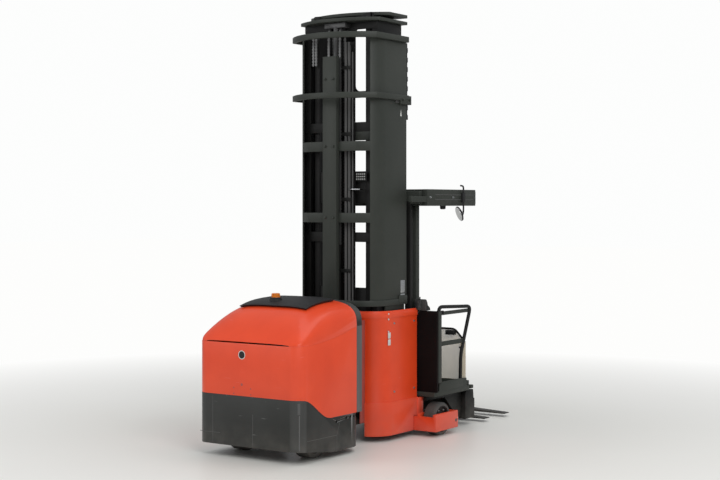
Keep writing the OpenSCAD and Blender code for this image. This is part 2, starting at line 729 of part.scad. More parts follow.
// Round mirror on an arm at the roof's right edge
mirror_f = roof_front - 290;
mirror_y = -roof_w / 2 - 14;
mirror_back = 150;
mirror_out = 40;
mirror_z = roof_z - 85;
mirror_d = 190;
module mirror_round() {
  color(frame_black) placed() {
    translate([mirror_f, mirror_y, mirror_z]) cylinder(d = 22, h = roof_z + roof_h + 50 - mirror_z);
    block([mirror_f - 11, mirror_y, roof_z + 60], [mirror_f + 11, -roof_w / 2 - seat, roof_z + 90]);
    translate([mirror_f - mirror_back, mirror_y - mirror_out, mirror_z])
      rotate([0, 0, -40]) rotate([0, -75, 0]) cylinder(d = mirror_d, h = 20);
    block([mirror_f - mirror_back + 6, mirror_y - mirror_out - 4, mirror_z],
      [mirror_f + 8, mirror_y - mirror_out + 12, mirror_z + 16]);
    block([mirror_f - 8, mirror_y - mirror_out, mirror_z], [mirror_f + 8, mirror_y, mirror_z + 16]);
  }
}

// Traverse frame: a beam across the front with slanted ends, on two arms under the cab floor
beam_z0 = 70;
beam_z1 = 340;
beam_half = beam_w / 2;
module traverse_frame() {
  color(frame_black) placed() {
    block([beam_f, -beam_half, beam_z0 + 60], [beam_f + beam_l, beam_half, beam_z1 - 60]);
    both_sides() translate([0, beam_half, 0]) rotate([90, 0, 0]) linear_extrude(90)
      polygon([[beam_f - 20, beam_z0], [beam_f + beam_l - 10, beam_z0], [beam_f + beam_l, beam_z0 + 60],
        [beam_f + beam_l - 30, beam_z1 + 40], [beam_f + 10, beam_z1 + 60], [beam_f - 20, beam_z1]]);
    both_sides() {
      block([cab_f + 60, 240, 290], [beam_f + 1, 330, cab_z - seat]);
      block([beam_f - 240, 240, 200], [beam_f + 1, 330, 291]);
    }
  }
}

// Traverse slide: a plate on the beam's face and an arm forward to the turret's bearing
slide_f = beam_f + beam_l + seat;
slide_w = 300;
arm_w = 160;
arm_z0 = 95;
arm_z1 = 165;
module traverse_slide() {
  color(frame_black) placed() translate([0, turret_y, 0]) {
    block([slide_f, -slide_w / 2, beam_z0 + 20], [slide_f + 40, slide_w / 2, beam_z1 - 20]);
    block([slide_f + 39, -arm_w / 2, arm_z0], [turret_f, arm_w / 2, arm_z1]);
    translate([turret_f, 0, arm_z0]) cylinder(d = arm_w, h = arm_z1 - arm_z0);
    translate([turret_f, 0, arm_z1 - 1]) cylinder(d = 80, h = 61);
  }
}

// Turret head, pointing to the right when parked: a bearing block and a short auxiliary mast
aux_top = 1350;
aux_out = [50, 95];
module turret_frame() {
  placed() translate([turret_f, turret_y, 0]) rotate([0, 0, -90]) children();
}
module turret_head() {
  color(frame_black) turret_frame() {
    difference() {
      union() {
        translate([0, 0, arm_z1 + 5]) cylinder(d = 190, h = 100);
        block([0, -160, arm_z1 + 5], [aux_out[0] + 1, 160, arm_z1 + 105]);
      }
      translate([0, 0, arm_z1]) cylinder(d = 80 + 2 * pin_gap, h = 62);
    }
    both_sides() block([aux_out[0], 120, arm_z1 + 5], [aux_out[1], 160, aux_top]);
    for (z = [700, aux_top - 60])
      block([aux_out[0], -121, z], [aux_out[0] + 20, 121, z + 60]);
  }
}

// Fork carriage: two rails and two uprights on the auxiliary mast's face
plate_out = [aux_out[1] + seat, aux_out[1] + 25];
rail_z = [110, 440];
rail_h = 90;
fork_half = fork_gap / 2 + fork_w / 2;
module fork_carriage() {
  color(frame_black) turret_frame() {
    for (z = rail_z) block([plate_out[0], -fork_half, z], [plate_out[1], fork_half, z + rail_h]);
    both_sides() block([plate_out[0], 100, rail_z[0] + rail_h - 1], [plate_out[1], 165, rail_z[1] + 1]);
  }
}

// Fork: a shank on the carriage and a blade that tapers towards its tip
shank_t = 40;
module fork(side) {
  out = plate_out[1] + seat;
  color(frame_black) turret_frame() translate([0, side * fork_gap / 2, 0]) {
    block([out, -fork_w / 2, fork_z], [out + shank_t, fork_w / 2, rail_z[1] + rail_h - 10]);
    rotate([90, 0, 0]) linear_extrude(fork_w, center = true)
      polygon([[out + shank_t - 1, fork_z], [out + fork_l, fork_z], [out + fork_l, fork_z + 10],
        [out + fork_l * 0.4, fork_z + fork_t], [out + shank_t - 1, fork_z + fork_t]]);
  }
}
module fork_left() { fork(1); }
module fork_right() { fork(-1); }

rear_frame();
skirt();
rear_panels();
top_hood();
hood_tray();
beacon();
seal_strip();
battery_block();
drive_axle();
drive_wheel_left();
drive_wheel_right();
front_frame();
shroud();
neck_cover();
load_bracket_left();
load_bracket_right();
load_wheel_left();
load_wheel_right();
mast_shell_left();
mast_shell_right();
mast_ladder();
mast_rings();
lift_cylinder();
mid_mast();
lift_rod();
inner_mast();
hose_chain();
cab_carriage();
cab_floor();
cab_back();
cab_posts();
roof_guard();
front_panel();
console();
gate_left();
gate_right();
mirror_round();
traverse_frame();
traverse_slide();
turret_head();
fork_carriage();
fork_left();
fork_right();
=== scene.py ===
"""Looks of a man-up very narrow aisle truck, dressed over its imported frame.

Every length is in metres. +X is forward, +Y is the truck's left and +Z is up.
"""

from __future__ import annotations

import json
import logging
import math
from dataclasses import dataclass
from enum import Enum

import bmesh
import bpy
from mathutils import Matrix, Vector

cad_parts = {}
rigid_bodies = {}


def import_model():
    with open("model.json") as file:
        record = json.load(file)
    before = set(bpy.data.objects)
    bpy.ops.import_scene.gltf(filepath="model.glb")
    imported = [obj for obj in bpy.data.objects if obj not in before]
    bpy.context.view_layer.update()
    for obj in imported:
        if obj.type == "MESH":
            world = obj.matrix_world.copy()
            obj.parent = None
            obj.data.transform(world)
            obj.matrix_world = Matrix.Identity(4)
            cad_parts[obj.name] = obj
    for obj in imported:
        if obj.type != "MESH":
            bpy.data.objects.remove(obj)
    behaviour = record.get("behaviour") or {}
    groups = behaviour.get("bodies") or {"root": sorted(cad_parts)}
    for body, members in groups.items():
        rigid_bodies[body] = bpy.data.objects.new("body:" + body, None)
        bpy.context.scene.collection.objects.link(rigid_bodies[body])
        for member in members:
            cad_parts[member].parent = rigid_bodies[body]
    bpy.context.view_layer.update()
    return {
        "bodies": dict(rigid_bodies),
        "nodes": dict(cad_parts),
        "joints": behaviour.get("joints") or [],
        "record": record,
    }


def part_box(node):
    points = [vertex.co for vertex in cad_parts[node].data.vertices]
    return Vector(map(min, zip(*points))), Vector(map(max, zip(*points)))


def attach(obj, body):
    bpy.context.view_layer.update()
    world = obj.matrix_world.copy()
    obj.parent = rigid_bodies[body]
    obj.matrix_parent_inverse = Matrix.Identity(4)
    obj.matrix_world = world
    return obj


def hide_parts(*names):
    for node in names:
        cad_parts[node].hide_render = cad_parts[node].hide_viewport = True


LOG = logging.getLogger("truck")


class Wear(Enum):
    """How worn a painted or moulded surface looks."""

    CLEAN = 0.0
    LIGHT = 0.35
    HEAVY = 0.8


@dataclass(frozen=True)
class Finish:
    """One finish of the truck: its slot in the record, colours and surface grain."""

    name: str
    slot: str
    colour: tuple[float, float, float]
    second: tuple[float, float, float]
    rough: float = 0.45
    metal: float = 0.0
    coat: float = 0.0
    grain: float = 60.0
    bump: float = 0.08
    wear: Wear = Wear.LIGHT
    dust: float = 0.25
    specular: float = 0.35

    def build(self) -> bpy.types.Material:
        """Makes the material: mottled colour, rubbed edges, floor dust and a fine grain.

        Returns:
            The new material.
        """
        sheet = NodeSheet(self.name)
        coords = sheet.coords()
        mottle = sheet.noise(coords, 3.0, 4.0)
        base = sheet.mix(sheet.ramp(mottle, 0.35, 0.7), self.colour, self.second)
        rubbed = sheet.rubbed(coords, self.wear.value)
        pale = tuple(min(1.0, 0.35 + 0.8 * c) for c in self.second)
        worn = sheet.mix(rubbed, base, pale)
        dust = sheet.floor_dust(coords, self.dust)
        coloured = sheet.mix(dust, worn, (0.27, 0.25, 0.22))
        sheet.link(coloured, "Base Color")
        fine = sheet.noise(coords, self.grain, 3.0)
        sheet.link(sheet.spread(fine, self.rough - 0.06, self.rough + 0.1), "Roughness")
        sheet.link(sheet.bump(fine, self.bump, 0.0006), "Normal")
        sheet.set("Metallic", self.metal)
        sheet.set("Specular IOR Level", self.specular)
        sheet.set("Coat Weight", self.coat)
        sheet.set("Coat Roughness", 0.12)
        return sheet.material


class NodeSheet:
    """Short ways to lay out one material's nodes round its Principled shader."""

    def __init__(self, name: str) -> None:
        """Starts a material with a Principled shader and its output."""
        self.material = bpy.data.materials.new(name)
        self.material.use_nodes = True
        self.tree = self.material.node_tree
        self.shader = self.tree.nodes["Principled BSDF"]

    def node(self, kind: str, **values: object) -> bpy.types.Node:
        """Adds a node and sets its plain properties."""
        made = self.tree.nodes.new(kind)
        for key, value in values.items():
            setattr(made, key, value)
        return made

    def join(self, source: bpy.types.NodeSocket, target: bpy.types.NodeSocket) -> None:
        """Links two sockets."""
        self.tree.links.new(source, target)

    def link(self, source: bpy.types.NodeSocket, name: str) -> None:
        """Links a socket to the shader's socket of that name."""
        self.join(source, self.shader.inputs[name])

    def set(self, name: str, value: object) -> None:
        """Sets a value on the shader's own socket."""
        self.shader.inputs[name].default_value = value

    def coords(self) -> bpy.types.NodeSocket:
        """Object coordinates."""
        return self.node("ShaderNodeTexCoord").outputs["Object"]

    def stretched(self, coords: bpy.types.NodeSocket, scale: tuple[float, float, float]) -> bpy.types.NodeSocket:
        """Coordinates scaled differently along each axis."""
        mapping = self.node("ShaderNodeMapping")
        mapping.inputs["Scale"].default_value = scale
        self.join(coords, mapping.inputs["Vector"])
        return mapping.outputs["Vector"]

    def noise(self, coords: bpy.types.NodeSocket, scale: float, detail: float) -> bpy.types.NodeSocket:
        """A noise value from 0 to 1."""
        made = self.node("ShaderNodeTexNoise")
        made.inputs["Scale"].default_value = scale
        made.inputs["Detail"].default_value = detail
        self.join(coords, made.inputs["Vector"])
        return made.outputs["Fac"]

    def ramp(self, value: bpy.types.NodeSocket, low: float, high: float) -> bpy.types.NodeSocket:
        """The value's stretch from low to high, spread from 0 to 1 and clamped."""
        return self.spread(value, 0.0, 1.0, low, high)

    def spread(self, value: bpy.types.NodeSocket, to_low: float, to_high: float,
               low: float = 0.3, high: float = 0.7) -> bpy.types.NodeSocket:
        """Maps a value's stretch from low to high onto another, clamped."""
        made = self.node("ShaderNodeMapRange")
        for key, number in (("From Min", low), ("From Max", high), ("To Min", to_low), ("To Max", to_high)):
            made.inputs[key].default_value = number
        self.join(value, made.inputs["Value"])
        return made.outputs["Result"]

    def math(self, kind: str, first: object, second: object) -> bpy.types.NodeSocket:
        """A clamped sum, product or other Math node of two values or sockets."""
        made = self.node("ShaderNodeMath", operation=kind, use_clamp=True)
        for socket, value in zip(made.inputs, (first, second)):
            if isinstance(value, bpy.types.NodeSocket):
                self.join(value, socket)
            else:
                socket.default_value = value
        return made.outputs[0]

    def mix(self, fac: object, first: object, second: object) -> bpy.types.NodeSocket:
        """A colour between two, each given as a socket or as red, green and blue."""
        made = self.node("ShaderNodeMix", data_type="RGBA")
        for socket, value in ((made.inputs[0], fac), (made.inputs[6], first), (made.inputs[7], second)):
            if isinstance(value, bpy.types.NodeSocket):
                self.join(value, socket)
            elif isinstance(value, tuple):
                socket.default_value = (*value, 1.0)
            else:
                socket.default_value = value
        return made.outputs[2]

    def height(self, coords: bpy.types.NodeSocket) -> bpy.types.NodeSocket:
        """Height above the floor."""
        split = self.node("ShaderNodeSeparateXYZ")
        self.join(coords, split.inputs[0])
        return split.outputs["Z"]

    def rubbed(self, coords: bpy.types.NodeSocket, amount: float) -> bpy.types.NodeSocket:
        """Where paint is rubbed: short scuffs along the body and a little on sharp edges."""
        scuffs = self.noise(self.stretched(coords, (3.0, 3.0, 26.0)), 2.2, 6.0)
        mask = self.spread(scuffs, 0.0, 0.5 * amount, 0.7, 0.8)
        edge = self.spread(self.node("ShaderNodeNewGeometry").outputs["Pointiness"], 0.0, amount, 0.53, 0.62)
        return self.math("ADD", mask, self.math("MULTIPLY", edge, 0.6))

    def floor_dust(self, coords: bpy.types.NodeSocket, amount: float) -> bpy.types.NodeSocket:
        """Dust that thickens towards the floor."""
        low = self.spread(self.height(coords), amount, 0.0, 0.02, 0.35)
        return self.math("MULTIPLY", low, self.spread(self.noise(coords, 9.0, 5.0), 0.2, 1.0))

    def bump(self, value: bpy.types.NodeSocket, strength: float, distance: float) -> bpy.types.NodeSocket:
        """A bump normal."""
        made = self.node("ShaderNodeBump")
        made.inputs["Strength"].default_value = strength
        made.inputs["Distance"].default_value = distance
        self.join(value, made.inputs["Height"])
        return made.outputs["Normal"]


RED = Finish("red_gloss_paint", "red_paint", (0.80, 0.066, 0.014), (0.73, 0.055, 0.011), 0.4, coat=0.15,
             grain=240.0, bump=0.03, dust=0.12)
# Dark red paint of the neck cover. The rear panel's hole discs use it too, and there it is painted shade in place of
# their hollows.
DARK_RED = Finish("dark_red_paint", "dark_red_paint", (0.36, 0.036, 0.018), (0.28, 0.03, 0.016), 0.5)
MAST = Finish("mast_paint", "mast_paint", (0.038, 0.042, 0.036), (0.032, 0.036, 0.031), 0.46,
              grain=180.0, bump=0.06, wear=Wear.CLEAN, specular=0.25)
SKIRT = Finish("skirt_paint", "skirt_paint", (0.018, 0.019, 0.017), (0.025, 0.026, 0.024), 0.5,
               grain=150.0, bump=0.12, wear=Wear.HEAVY, specular=0.25)
FRAME = Finish("frame_paint", "frame_paint", (0.009, 0.009, 0.009), (0.013, 0.013, 0.012), 0.5,
               grain=150.0, bump=0.1, wear=Wear.CLEAN, specular=0.22)
STEEL = Finish("bright_steel", "steel", (0.46, 0.47, 0.48), (0.38, 0.39, 0.40), 0.3, metal=1.0,
               grain=90.0, bump=0.05, dust=0.0)
# The frame paint again, darker and with less specular, for the cab's back wall: a shaded copy of one paint, which is
# painted shade.
FRAME_PAINT_SHADED = Finish("back_wall_shaded_frame_paint", "frame_paint", (0.006, 0.004, 0.004), (0.009, 0.006, 0.006), 0.6,
              grain=140.0, bump=0.08, wear=Wear.CLEAN, specular=0.08)
OILED = Finish("oiled_steel", "steel", (0.085, 0.085, 0.085), (0.06, 0.06, 0.06), 0.42, metal=0.7,
               grain=90.0, bump=0.1, dust=0.0)
PLASTIC = Finish("black_plastic", "black_plastic", (0.016, 0.016, 0.017), (0.022, 0.022, 0.023), 0.55,
                 grain=420.0, bump=0.25, wear=Wear.CLEAN, dust=0.0, specular=0.25)
SEAL = Finish("seal_rubber", "seal", (0.016, 0.016, 0.016), (0.026, 0.025, 0.024), 0.72,
              grain=120.0, bump=0.2)
TYRE = Finish("tyre_rubber", "tyre", (0.020, 0.020, 0.020), (0.050, 0.047, 0.043), 0.78,
              grain=70.0, bump=0.3, dust=0.5)
PALE = Finish("pale_plate", "steel", (0.62, 0.62, 0.60), (0.56, 0.56, 0.54), 0.5, bump=0.02, dust=0.0)
BATTERY = Finish("battery_case", "battery_case", (0.04, 0.05, 0.06), (0.03, 0.04, 0.05), 0.5)


@dataclass(frozen=True)
class ClearFinish:
    """A see-through or glowing finish: tinted pane, beacon lens or lamp glass."""

    name: str
    slot: str
    colour: tuple[float, float, float]
    alpha: float = 1.0
    rough: float = 0.08
    transmission: float = 0.0
    metal: float = 0.0

    def build(self) -> bpy.types.Material:
        """Makes the material with faint streaks in its roughness.

        Returns:
            The new material.
        """
        sheet = NodeSheet(self.name)
        coords = sheet.coords()
        smear = sheet.noise(sheet.stretched(coords, (4.0, 4.0, 1.5)), 5.0, 4.0)
        deeper = tuple(0.8 * c for c in self.colour)
        sheet.link(sheet.mix(smear, self.colour, deeper), "Base Color")
        sheet.link(sheet.spread(smear, self.rough, self.rough + 0.1), "Roughness")
        sheet.set("Alpha", self.alpha)
        sheet.set("Transmission Weight", self.transmission)
        sheet.set("Metallic", self.metal)
        return sheet.material


PANE = ClearFinish("tinted_pane", "tinted_pane", (0.66, 0.56, 0.40), alpha=0.5)
AMBER = ClearFinish("amber_lens", "amber", (1.0, 0.27, 0.012), rough=0.2, transmission=0.25)
MIRROR = ClearFinish("mirror_glass", "mirror", (0.86, 0.87, 0.88), rough=0.03, metal=1.0)

AnyFinish = Finish | ClearFinish


class Paintbox:
    """Builds each finish once and hands it out."""

    def __init__(self) -> None:
        """Starts with no materials."""
        self.made: dict[str, bpy.types.Material] = {}

    def dress(self, piece: bpy.types.Object, finish: AnyFinish) -> None:
        """Gives a piece one finish.

        Args:
            piece: The piece or CAD node.
            finish: Its finish.
        """
        if finish.name not in self.made:
            self.made[finish.name] = finish.build()
        piece.data.materials.clear()
        piece.data.materials.append(self.made[finish.name])


class Shop:
    """Makes pieces from bmesh shapes and from copies of CAD nodes."""

    def __init__(self, frame: dict) -> None:
        """Keeps the loaded frame, a paintbox and the station of the rear bumper."""
        self.frame = frame
        self.paints = Paintbox()
        self.rear_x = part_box("skirt")[0].x

    def piece(self, name: str, mesh: bmesh.types.BMesh, body: str, finish: AnyFinish,
              smooth_deg: float = 35.0) -> bpy.types.Object:
        """Turns a bmesh into a piece that rides on a body.

        Args:
            name: The piece's name.
            mesh: Its bmesh, which is freed.
            body: The CAD body it rides on.
            finish: Its finish.
            smooth_deg: Edges flatter than this shade smooth.

        Returns:
            The new object.
        """
        data = bpy.data.meshes.new(name)
        limit = math.radians(smooth_deg)
        for face in mesh.faces:
            face.smooth = True
        for edge in mesh.edges:
            edge.smooth = len(edge.link_faces) == 2 and edge.calc_face_angle(0.0) < limit
        mesh.to_mesh(data)
        mesh.free()
        made = bpy.data.objects.new(name, data)
        bpy.context.scene.collection.objects.link(made)
        self.paints.dress(made, finish)
        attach(made, body)
        LOG.info("%s rides on %s", name, body)
        return made

    def merged(self, node: str, weld: float = 0.00004) -> bmesh.types.BMesh:
        """A copy of a CAD node with its loose triangles merged into flat faces.

        Args:
            node: The CAD node's name.
            weld: Distance within which corners are merged.

        Returns:
            The copy as a bmesh.
        """
        mesh = bmesh.new()
        mesh.from_mesh(self.frame["nodes"][node].data)
        bmesh.ops.remove_doubles(mesh, verts=mesh.verts, dist=weld)
        bmesh.ops.dissolve_limit(mesh, angle_limit=math.radians(1.0), verts=mesh.verts, edges=mesh.edges)
        return mesh

    def softened(self, node: str, body: str, finish: AnyFinish, width: float = 0.003,
                 segments: int = 2) -> bpy.types.Object:
        """Stands a copy with rounded edges in for a CAD node.

        Args:
            node: The CAD node's name.
            body: The body it rides on.
            finish: Its finish.
            width: Width of the rounding.
            segments: Number of faces across the rounding.

        Returns:
            The new piece.
        """
        mesh = self.merged(node)
        sharp = [e for e in mesh.edges if len(e.link_faces) == 2
                 and e.calc_face_angle(0.0) > math.radians(28.0)]
        bmesh.ops.bevel(mesh, geom=sharp, offset=width, offset_type="OFFSET", segments=segments,
                        profile=0.5, affect="EDGES", clamp_overlap=True, material=-1)
        made = self.piece(f"{node}_dressed", mesh, body, finish)
        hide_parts(node)
        return made

    def wheel(self, node: str, body: str, tyre_t: float, bolts: int) -> None:
        """Stands a turned tyre and a hub with its bolts in for a wheel's CAD node.

        Args:
            node: The CAD node's name.
            body: The body it rides on.
            tyre_t: Thickness of the tyre.
            bolts: Number of bolts on the hub's outer face.
        """
        low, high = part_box(node)
        centre = (low + high) / 2
        radius, half = (high.z - low.z) / 2, (high.y - low.y) / 2
        out = 1.0 if centre.y > 0 else -1.0
        rim = radius - tyre_t
        tyre = [(rim, -half), (radius - 0.012, -half), (radius - 0.004, 0.004 - half), (radius, 0.012 - half),
                (radius, half - 0.012), (radius - 0.004, half - 0.004), (radius - 0.012, half), (rim, half)]
        ring = self.piece(f"{node}_tyre", Form.lathe(tyre, centre, (0, out, 0), 64), body, TYRE)
        hub = [(0.04, -half + 0.012), (rim, -half + 0.012), (rim, half - 0.006), (rim - 0.012, half - 0.006),
               (rim - 0.018, half - 0.02), (0.078, half - 0.026), (0.07, half - 0.012), (0.04, half - 0.012)]
        self.piece(f"{node}_hub", Form.lathe(hub, centre, (0, out, 0), 64), body, FRAME)
        studs = []
        for i in range(bolts):
            angle = 2 * math.pi * i / bolts
            spoke = Vector((math.cos(angle), 0.0, math.sin(angle))) * (0.5 * (rim + 0.06))
            studs.append(Form.bolt(centre + spoke + Vector((0, out * (half - 0.024), 0)), (0, out, 0)))
        self.piece(f"{node}_bolts", Form.all_of(*studs), body, STEEL)
        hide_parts(node)


class Form:
    """Shapes made with bmesh operators, each placed in the truck's own frame."""

    @staticmethod
    def add(target: bmesh.types.BMesh, part: bmesh.types.BMesh) -> bmesh.types.BMesh:
        """Adds a part to a mesh and frees the part.

        Args:
            target: The mesh that grows.
            part: The mesh that is added to it.

        Returns:
            The grown mesh.
        """
        data = bpy.data.meshes.new("part")
        part.to_mesh(data)
        part.free()
        target.from_mesh(data)
        bpy.data.meshes.remove(data)
        return target

    @staticmethod
    def all_of(*parts: bmesh.types.BMesh) -> bmesh.types.BMesh:
        """All the parts in one mesh."""
        whole = bmesh.new()
        for part in parts:
            Form.add(whole, part)
        return whole

    @staticmethod
    def soften(mesh: bmesh.types.BMesh, width: float, segments: int = 2) -> None:
        """Bevels every edge of a mesh that isn't nearly flat.

        Args:
            mesh: The mesh.
            width: Width of the bevel.
            segments: Number of faces across it.
        """
        sharp = [e for e in mesh.edges if len(e.link_faces) == 2 and e.calc_face_angle(0.0) > 0.5]
        bmesh.ops.bevel(mesh, geom=sharp, offset=width, offset_type="OFFSET", segments=segments,
                        profile=0.5, affect="EDGES", clamp_overlap=True, material=-1)

    @staticmethod
    def slab(low: Vector | tuple, high: Vector | tuple, width: float = 0.002) -> bmesh.types.BMesh:
        """A block between two corners with softened edges.

        Args:
            low: Its lowest corner.
            high: Its highest corner.
            width: Width of the softened edges.

        Returns:
            The block as a bmesh.
        """
        low, high = Vector(low), Vector(high)
        mesh = bmesh.new()
        place = Matrix.Translation((low + high) / 2) @ Matrix.Diagonal((*(high - low), 1.0))
        bmesh.ops.create_cube(mesh, size=1.0, matrix=place)
        if width > 0.0:
            Form.soften(mesh, min(width, 0.3 * min(high - low)))
        return mesh

    @staticmethod
    def rod(start: Vector | tuple, end: Vector | tuple, radius: float, sides: int = 20,
            tip: float | None = None, width: float = 0.0) -> bmesh.types.BMesh:
        """A round or prismatic rod between two points.

        Args:
            start: Centre of its first end.
            end: Centre of its other end.
            radius: Its radius at the first end.
            sides: Number of its sides.
            tip: Its radius at the other end, the same where not given.
            width: Width of the softened rims.

        Returns:
            The rod as a bmesh.
        """
        start, end = Vector(start), Vector(end)
        turn = (end - start).to_track_quat("Z", "Y").to_matrix().to_4x4()
        mesh = bmesh.new()
        bmesh.ops.create_cone(mesh, cap_ends=True, segments=sides, radius1=radius,
                              radius2=radius if tip is None else tip, depth=(end - start).length,
                              matrix=Matrix.Translation((start + end) / 2) @ turn)
        if width > 0.0:
            Form.soften(mesh, width)
        return mesh

    @staticmethod
    def lathe(profile: list[tuple[float, float]], centre: Vector | tuple, axis: Vector | tuple,
              steps: int = 48) -> bmesh.types.BMesh:
        """Spins a closed profile round an axis.

        Args:
            profile: Rows of radius and distance along the axis, the last joined to the first.
            centre: The point on the axis at distance 0.
            axis: The axis.
            steps: Number of steps round it.

        Returns:
            The turned form as a bmesh.
        """
        mesh = bmesh.new()
        corners = [mesh.verts.new((r, 0.0, along)) for r, along in profile]
        edges = [mesh.edges.new((a, b)) for a, b in zip(corners, corners[1:] + corners[:1])]
        bmesh.ops.spin(mesh, geom=corners + edges, cent=(0, 0, 0), axis=(0, 0, 1), dvec=(0, 0, 0),
                       angle=2 * math.pi, steps=steps, use_merge=True, use_duplicate=False)
        bmesh.ops.remove_doubles(mesh, verts=mesh.verts, dist=0.00001)
        bmesh.ops.dissolve_degenerate(mesh, dist=0.00001, edges=mesh.edges)
        bmesh.ops.recalc_face_normals(mesh, faces=mesh.faces)
        turn = Vector(axis).to_track_quat("Z", "Y").to_matrix().to_4x4()
        bmesh.ops.transform(mesh, matrix=Matrix.Translation(Vector(centre)) @ turn, verts=mesh.verts)
        return mesh

    @staticmethod
    def rounded_path(points: list[Vector | tuple], bend: float, steps: int = 6) -> list[Vector]:
        """A path through points with its inner corners rounded.

        Args:
            points: The path's corners.
            bend: How far before and after a corner its rounding reaches.
            steps: Number of stretches in each rounding.

        Returns:
            The rounded path's points.
        """
        corners = [Vector(p) for p in points]
        path = [corners[0]]
        for before, here, after in zip(corners, corners[1:], corners[2:]):
            reach = min(bend, 0.48 * (here - before).length, 0.48 * (after - here).length)
            start = here + (before - here).normalized() * reach
            end = here + (after - here).normalized() * reach
            for i in range(steps + 1):
                t = i / steps
                path.append(start.lerp(here, t).lerp(here.lerp(end, t), t))
        path.append(corners[-1])
        return path

    @staticmethod
    def tube(points: list[Vector | tuple], radius: float, bend: float = 0.03, sides: int = 12,
             steps: int = 6) -> bmesh.types.BMesh:
        """A round tube or hose along a path.

        Args:
            points: The path's corners.
            radius: The tube's radius.
            bend: How far each corner's rounding reaches, or 0 for a path that is already smooth.
            sides: Number of sides.
            steps: Number of stretches in each rounding.

        Returns:
            The tube as a bmesh with closed ends.
        """
        path = Form.rounded_path(points, bend, steps) if bend > 0.0 else [Vector(p) for p in points]
        heads = [(b - a).normalized() for a, b in zip(path, path[1:])]
        facing = [heads[0]] + [(a + b).normalized() for a, b in zip(heads, heads[1:])] + [heads[-1]]
        turn = facing[0].to_track_quat("Z", "Y")
        mesh = bmesh.new()
        place = Matrix.Translation(path[0]) @ turn.to_matrix().to_4x4()
        ring = bmesh.ops.create_circle(mesh, segments=sides, radius=radius, matrix=place)["verts"]
        first = mesh.faces.new(ring)
        edges = list(first.edges)
        for at, after, way, new_way in zip(path, path[1:], facing, facing[1:]):
            grown = bmesh.ops.extrude_edge_only(mesh, edges=edges)["geom"]
            ring = [g for g in grown if isinstance(g, bmesh.types.BMVert)]
            edges = [g for g in grown if isinstance(g, bmesh.types.BMEdge)
                     and all(v in ring for v in g.verts)]
            step = (Matrix.Translation(after) @ way.rotation_difference(new_way).to_matrix().to_4x4()
                    @ Matrix.Translation(-at))
            bmesh.ops.transform(mesh, matrix=step, verts=ring)
        bmesh.ops.contextual_create(mesh, geom=edges)
        bmesh.ops.recalc_face_normals(mesh, faces=mesh.faces)
        return mesh

    @staticmethod
    def plate(corners: list[Vector | tuple], push: Vector | tuple, width: float = 0.0015) -> bmesh.types.BMesh:
        """A flat plate: its outline's corners, pushed along a vector.

        Args:
            corners: Corners of the outline.
            push: Direction and length of its thickness.
            width: Width of the softened edges.

        Returns:
            The plate as a bmesh.
        """
        mesh = bmesh.new()
        face = mesh.faces.new([mesh.verts.new(Vector(c)) for c in corners])
        grown = bmesh.ops.extrude_face_region(mesh, geom=[face])["geom"]
        bmesh.ops.translate(mesh, vec=Vector(push), verts=[g for g in grown if isinstance(g, bmesh.types.BMVert)])
        bmesh.ops.recalc_face_normals(mesh, faces=mesh.faces)
        if width > 0.0:
            Form.soften(mesh, width)
        return mesh

    @staticmethod
    def d_outline(apex: float, side: float, front: float, half: float, level: float,
                  steps: int = 28) -> list[Vector]:
        """Outline of a D: a wide arc behind and two straight sides, from the left front round to the right.

        Args:
            apex: X of the arc's rearmost point.
            side: X where the straight sides start.
            front: X of their front ends.
            half: Half the width.
            level: Height of the outline.
            steps: Number of stretches of the arc.

        Returns:
            The outline's points.
        """
        radius = (half ** 2 + (side - apex) ** 2) / (2 * (side - apex))
        middle = apex + radius
        reach = math.atan2(half, middle - side)
        arc = [Vector((middle - radius * math.cos(a), radius * math.sin(a), level))
               for a in (reach - 2 * reach * i / steps for i in range(steps + 1))]
        return [Vector((front, half, level)), *arc, Vector((front, -half, level))]

    @staticmethod
    def round_outline(rear: float, front: float, half: float, radius: float, level: float,
                      steps: int = 10) -> list[Vector]:
        """Outline of a U with rounded rear corners, from the left front round to the right.

        Args:
            rear: X of the rear face.
            front: X of the front ends.
            half: Half the width.
            radius: Radius of the rear corners.
            level: Height of the outline.
            steps: Number of stretches of each corner.

        Returns:
            The outline's points.
        """
        points = [Vector((front, half, level))]
        for sign, angles in ((1, range(steps + 1)), (-1, range(steps, -1, -1))):
            for i in angles:
                a = math.pi / 2 * i / steps
                points.append(Vector((rear + radius - radius * math.sin(a),
                                      sign * (half - radius + radius * math.cos(a)), level)))
        points.append(Vector((front, -half, level)))
        return points

    @staticmethod
    def band(outer: list[Vector], inner: list[Vector], height: float, width: float = 0.003) -> bmesh.types.BMesh:
        """A band between two open outlines that run the same way.

        Args:
            outer: The outer outline.
            inner: The inner outline.
            height: The band's height.
            width: Width of its softened edges.

        Returns:
            The band as a bmesh.
        """
        return Form.plate(outer + inner[::-1], (0, 0, height), width)

    @staticmethod
    def bolt(at: Vector | tuple, out: Vector | tuple, across: float = 0.019) -> bmesh.types.BMesh:
        """A hexagon head on its washer.

        Args:
            at: The point where the washer lies.
            out: The direction in which the head stands out.
            across: Width of the head.

        Returns:
            The bolt as a bmesh.
        """
        at, out = Vector(at), Vector(out).normalized()
        washer = Form.rod(at - out * 0.001, at + out * 0.002, 0.72 * across, 20)
        head = Form.rod(at + out * 0.002, at + out * (0.002 + 0.6 * across), 0.55 * across, 6, width=0.001)
        return Form.all_of(washer, head)


@dataclass
class Part:
    """What every sub-assembly shares: the shop and places measured from the rear bumper."""

    shop: Shop

    def at(self, station: float, left: float, height: float) -> Vector:
        """A point by its station ahead of the rear bumper, its distance to the left and its height."""
        return Vector((self.shop.rear_x + station, left, height))

    def box(self, node: str) -> tuple[Vector, Vector]:
        """Lowest and highest corner of a CAD node."""
        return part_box(node)

    def paint(self, finish: AnyFinish, *nodes: str) -> None:
        """Gives CAD nodes whose shape stays their finish."""
        for node in nodes:
            self.shop.paints.dress(self.shop.frame["nodes"][node], finish)


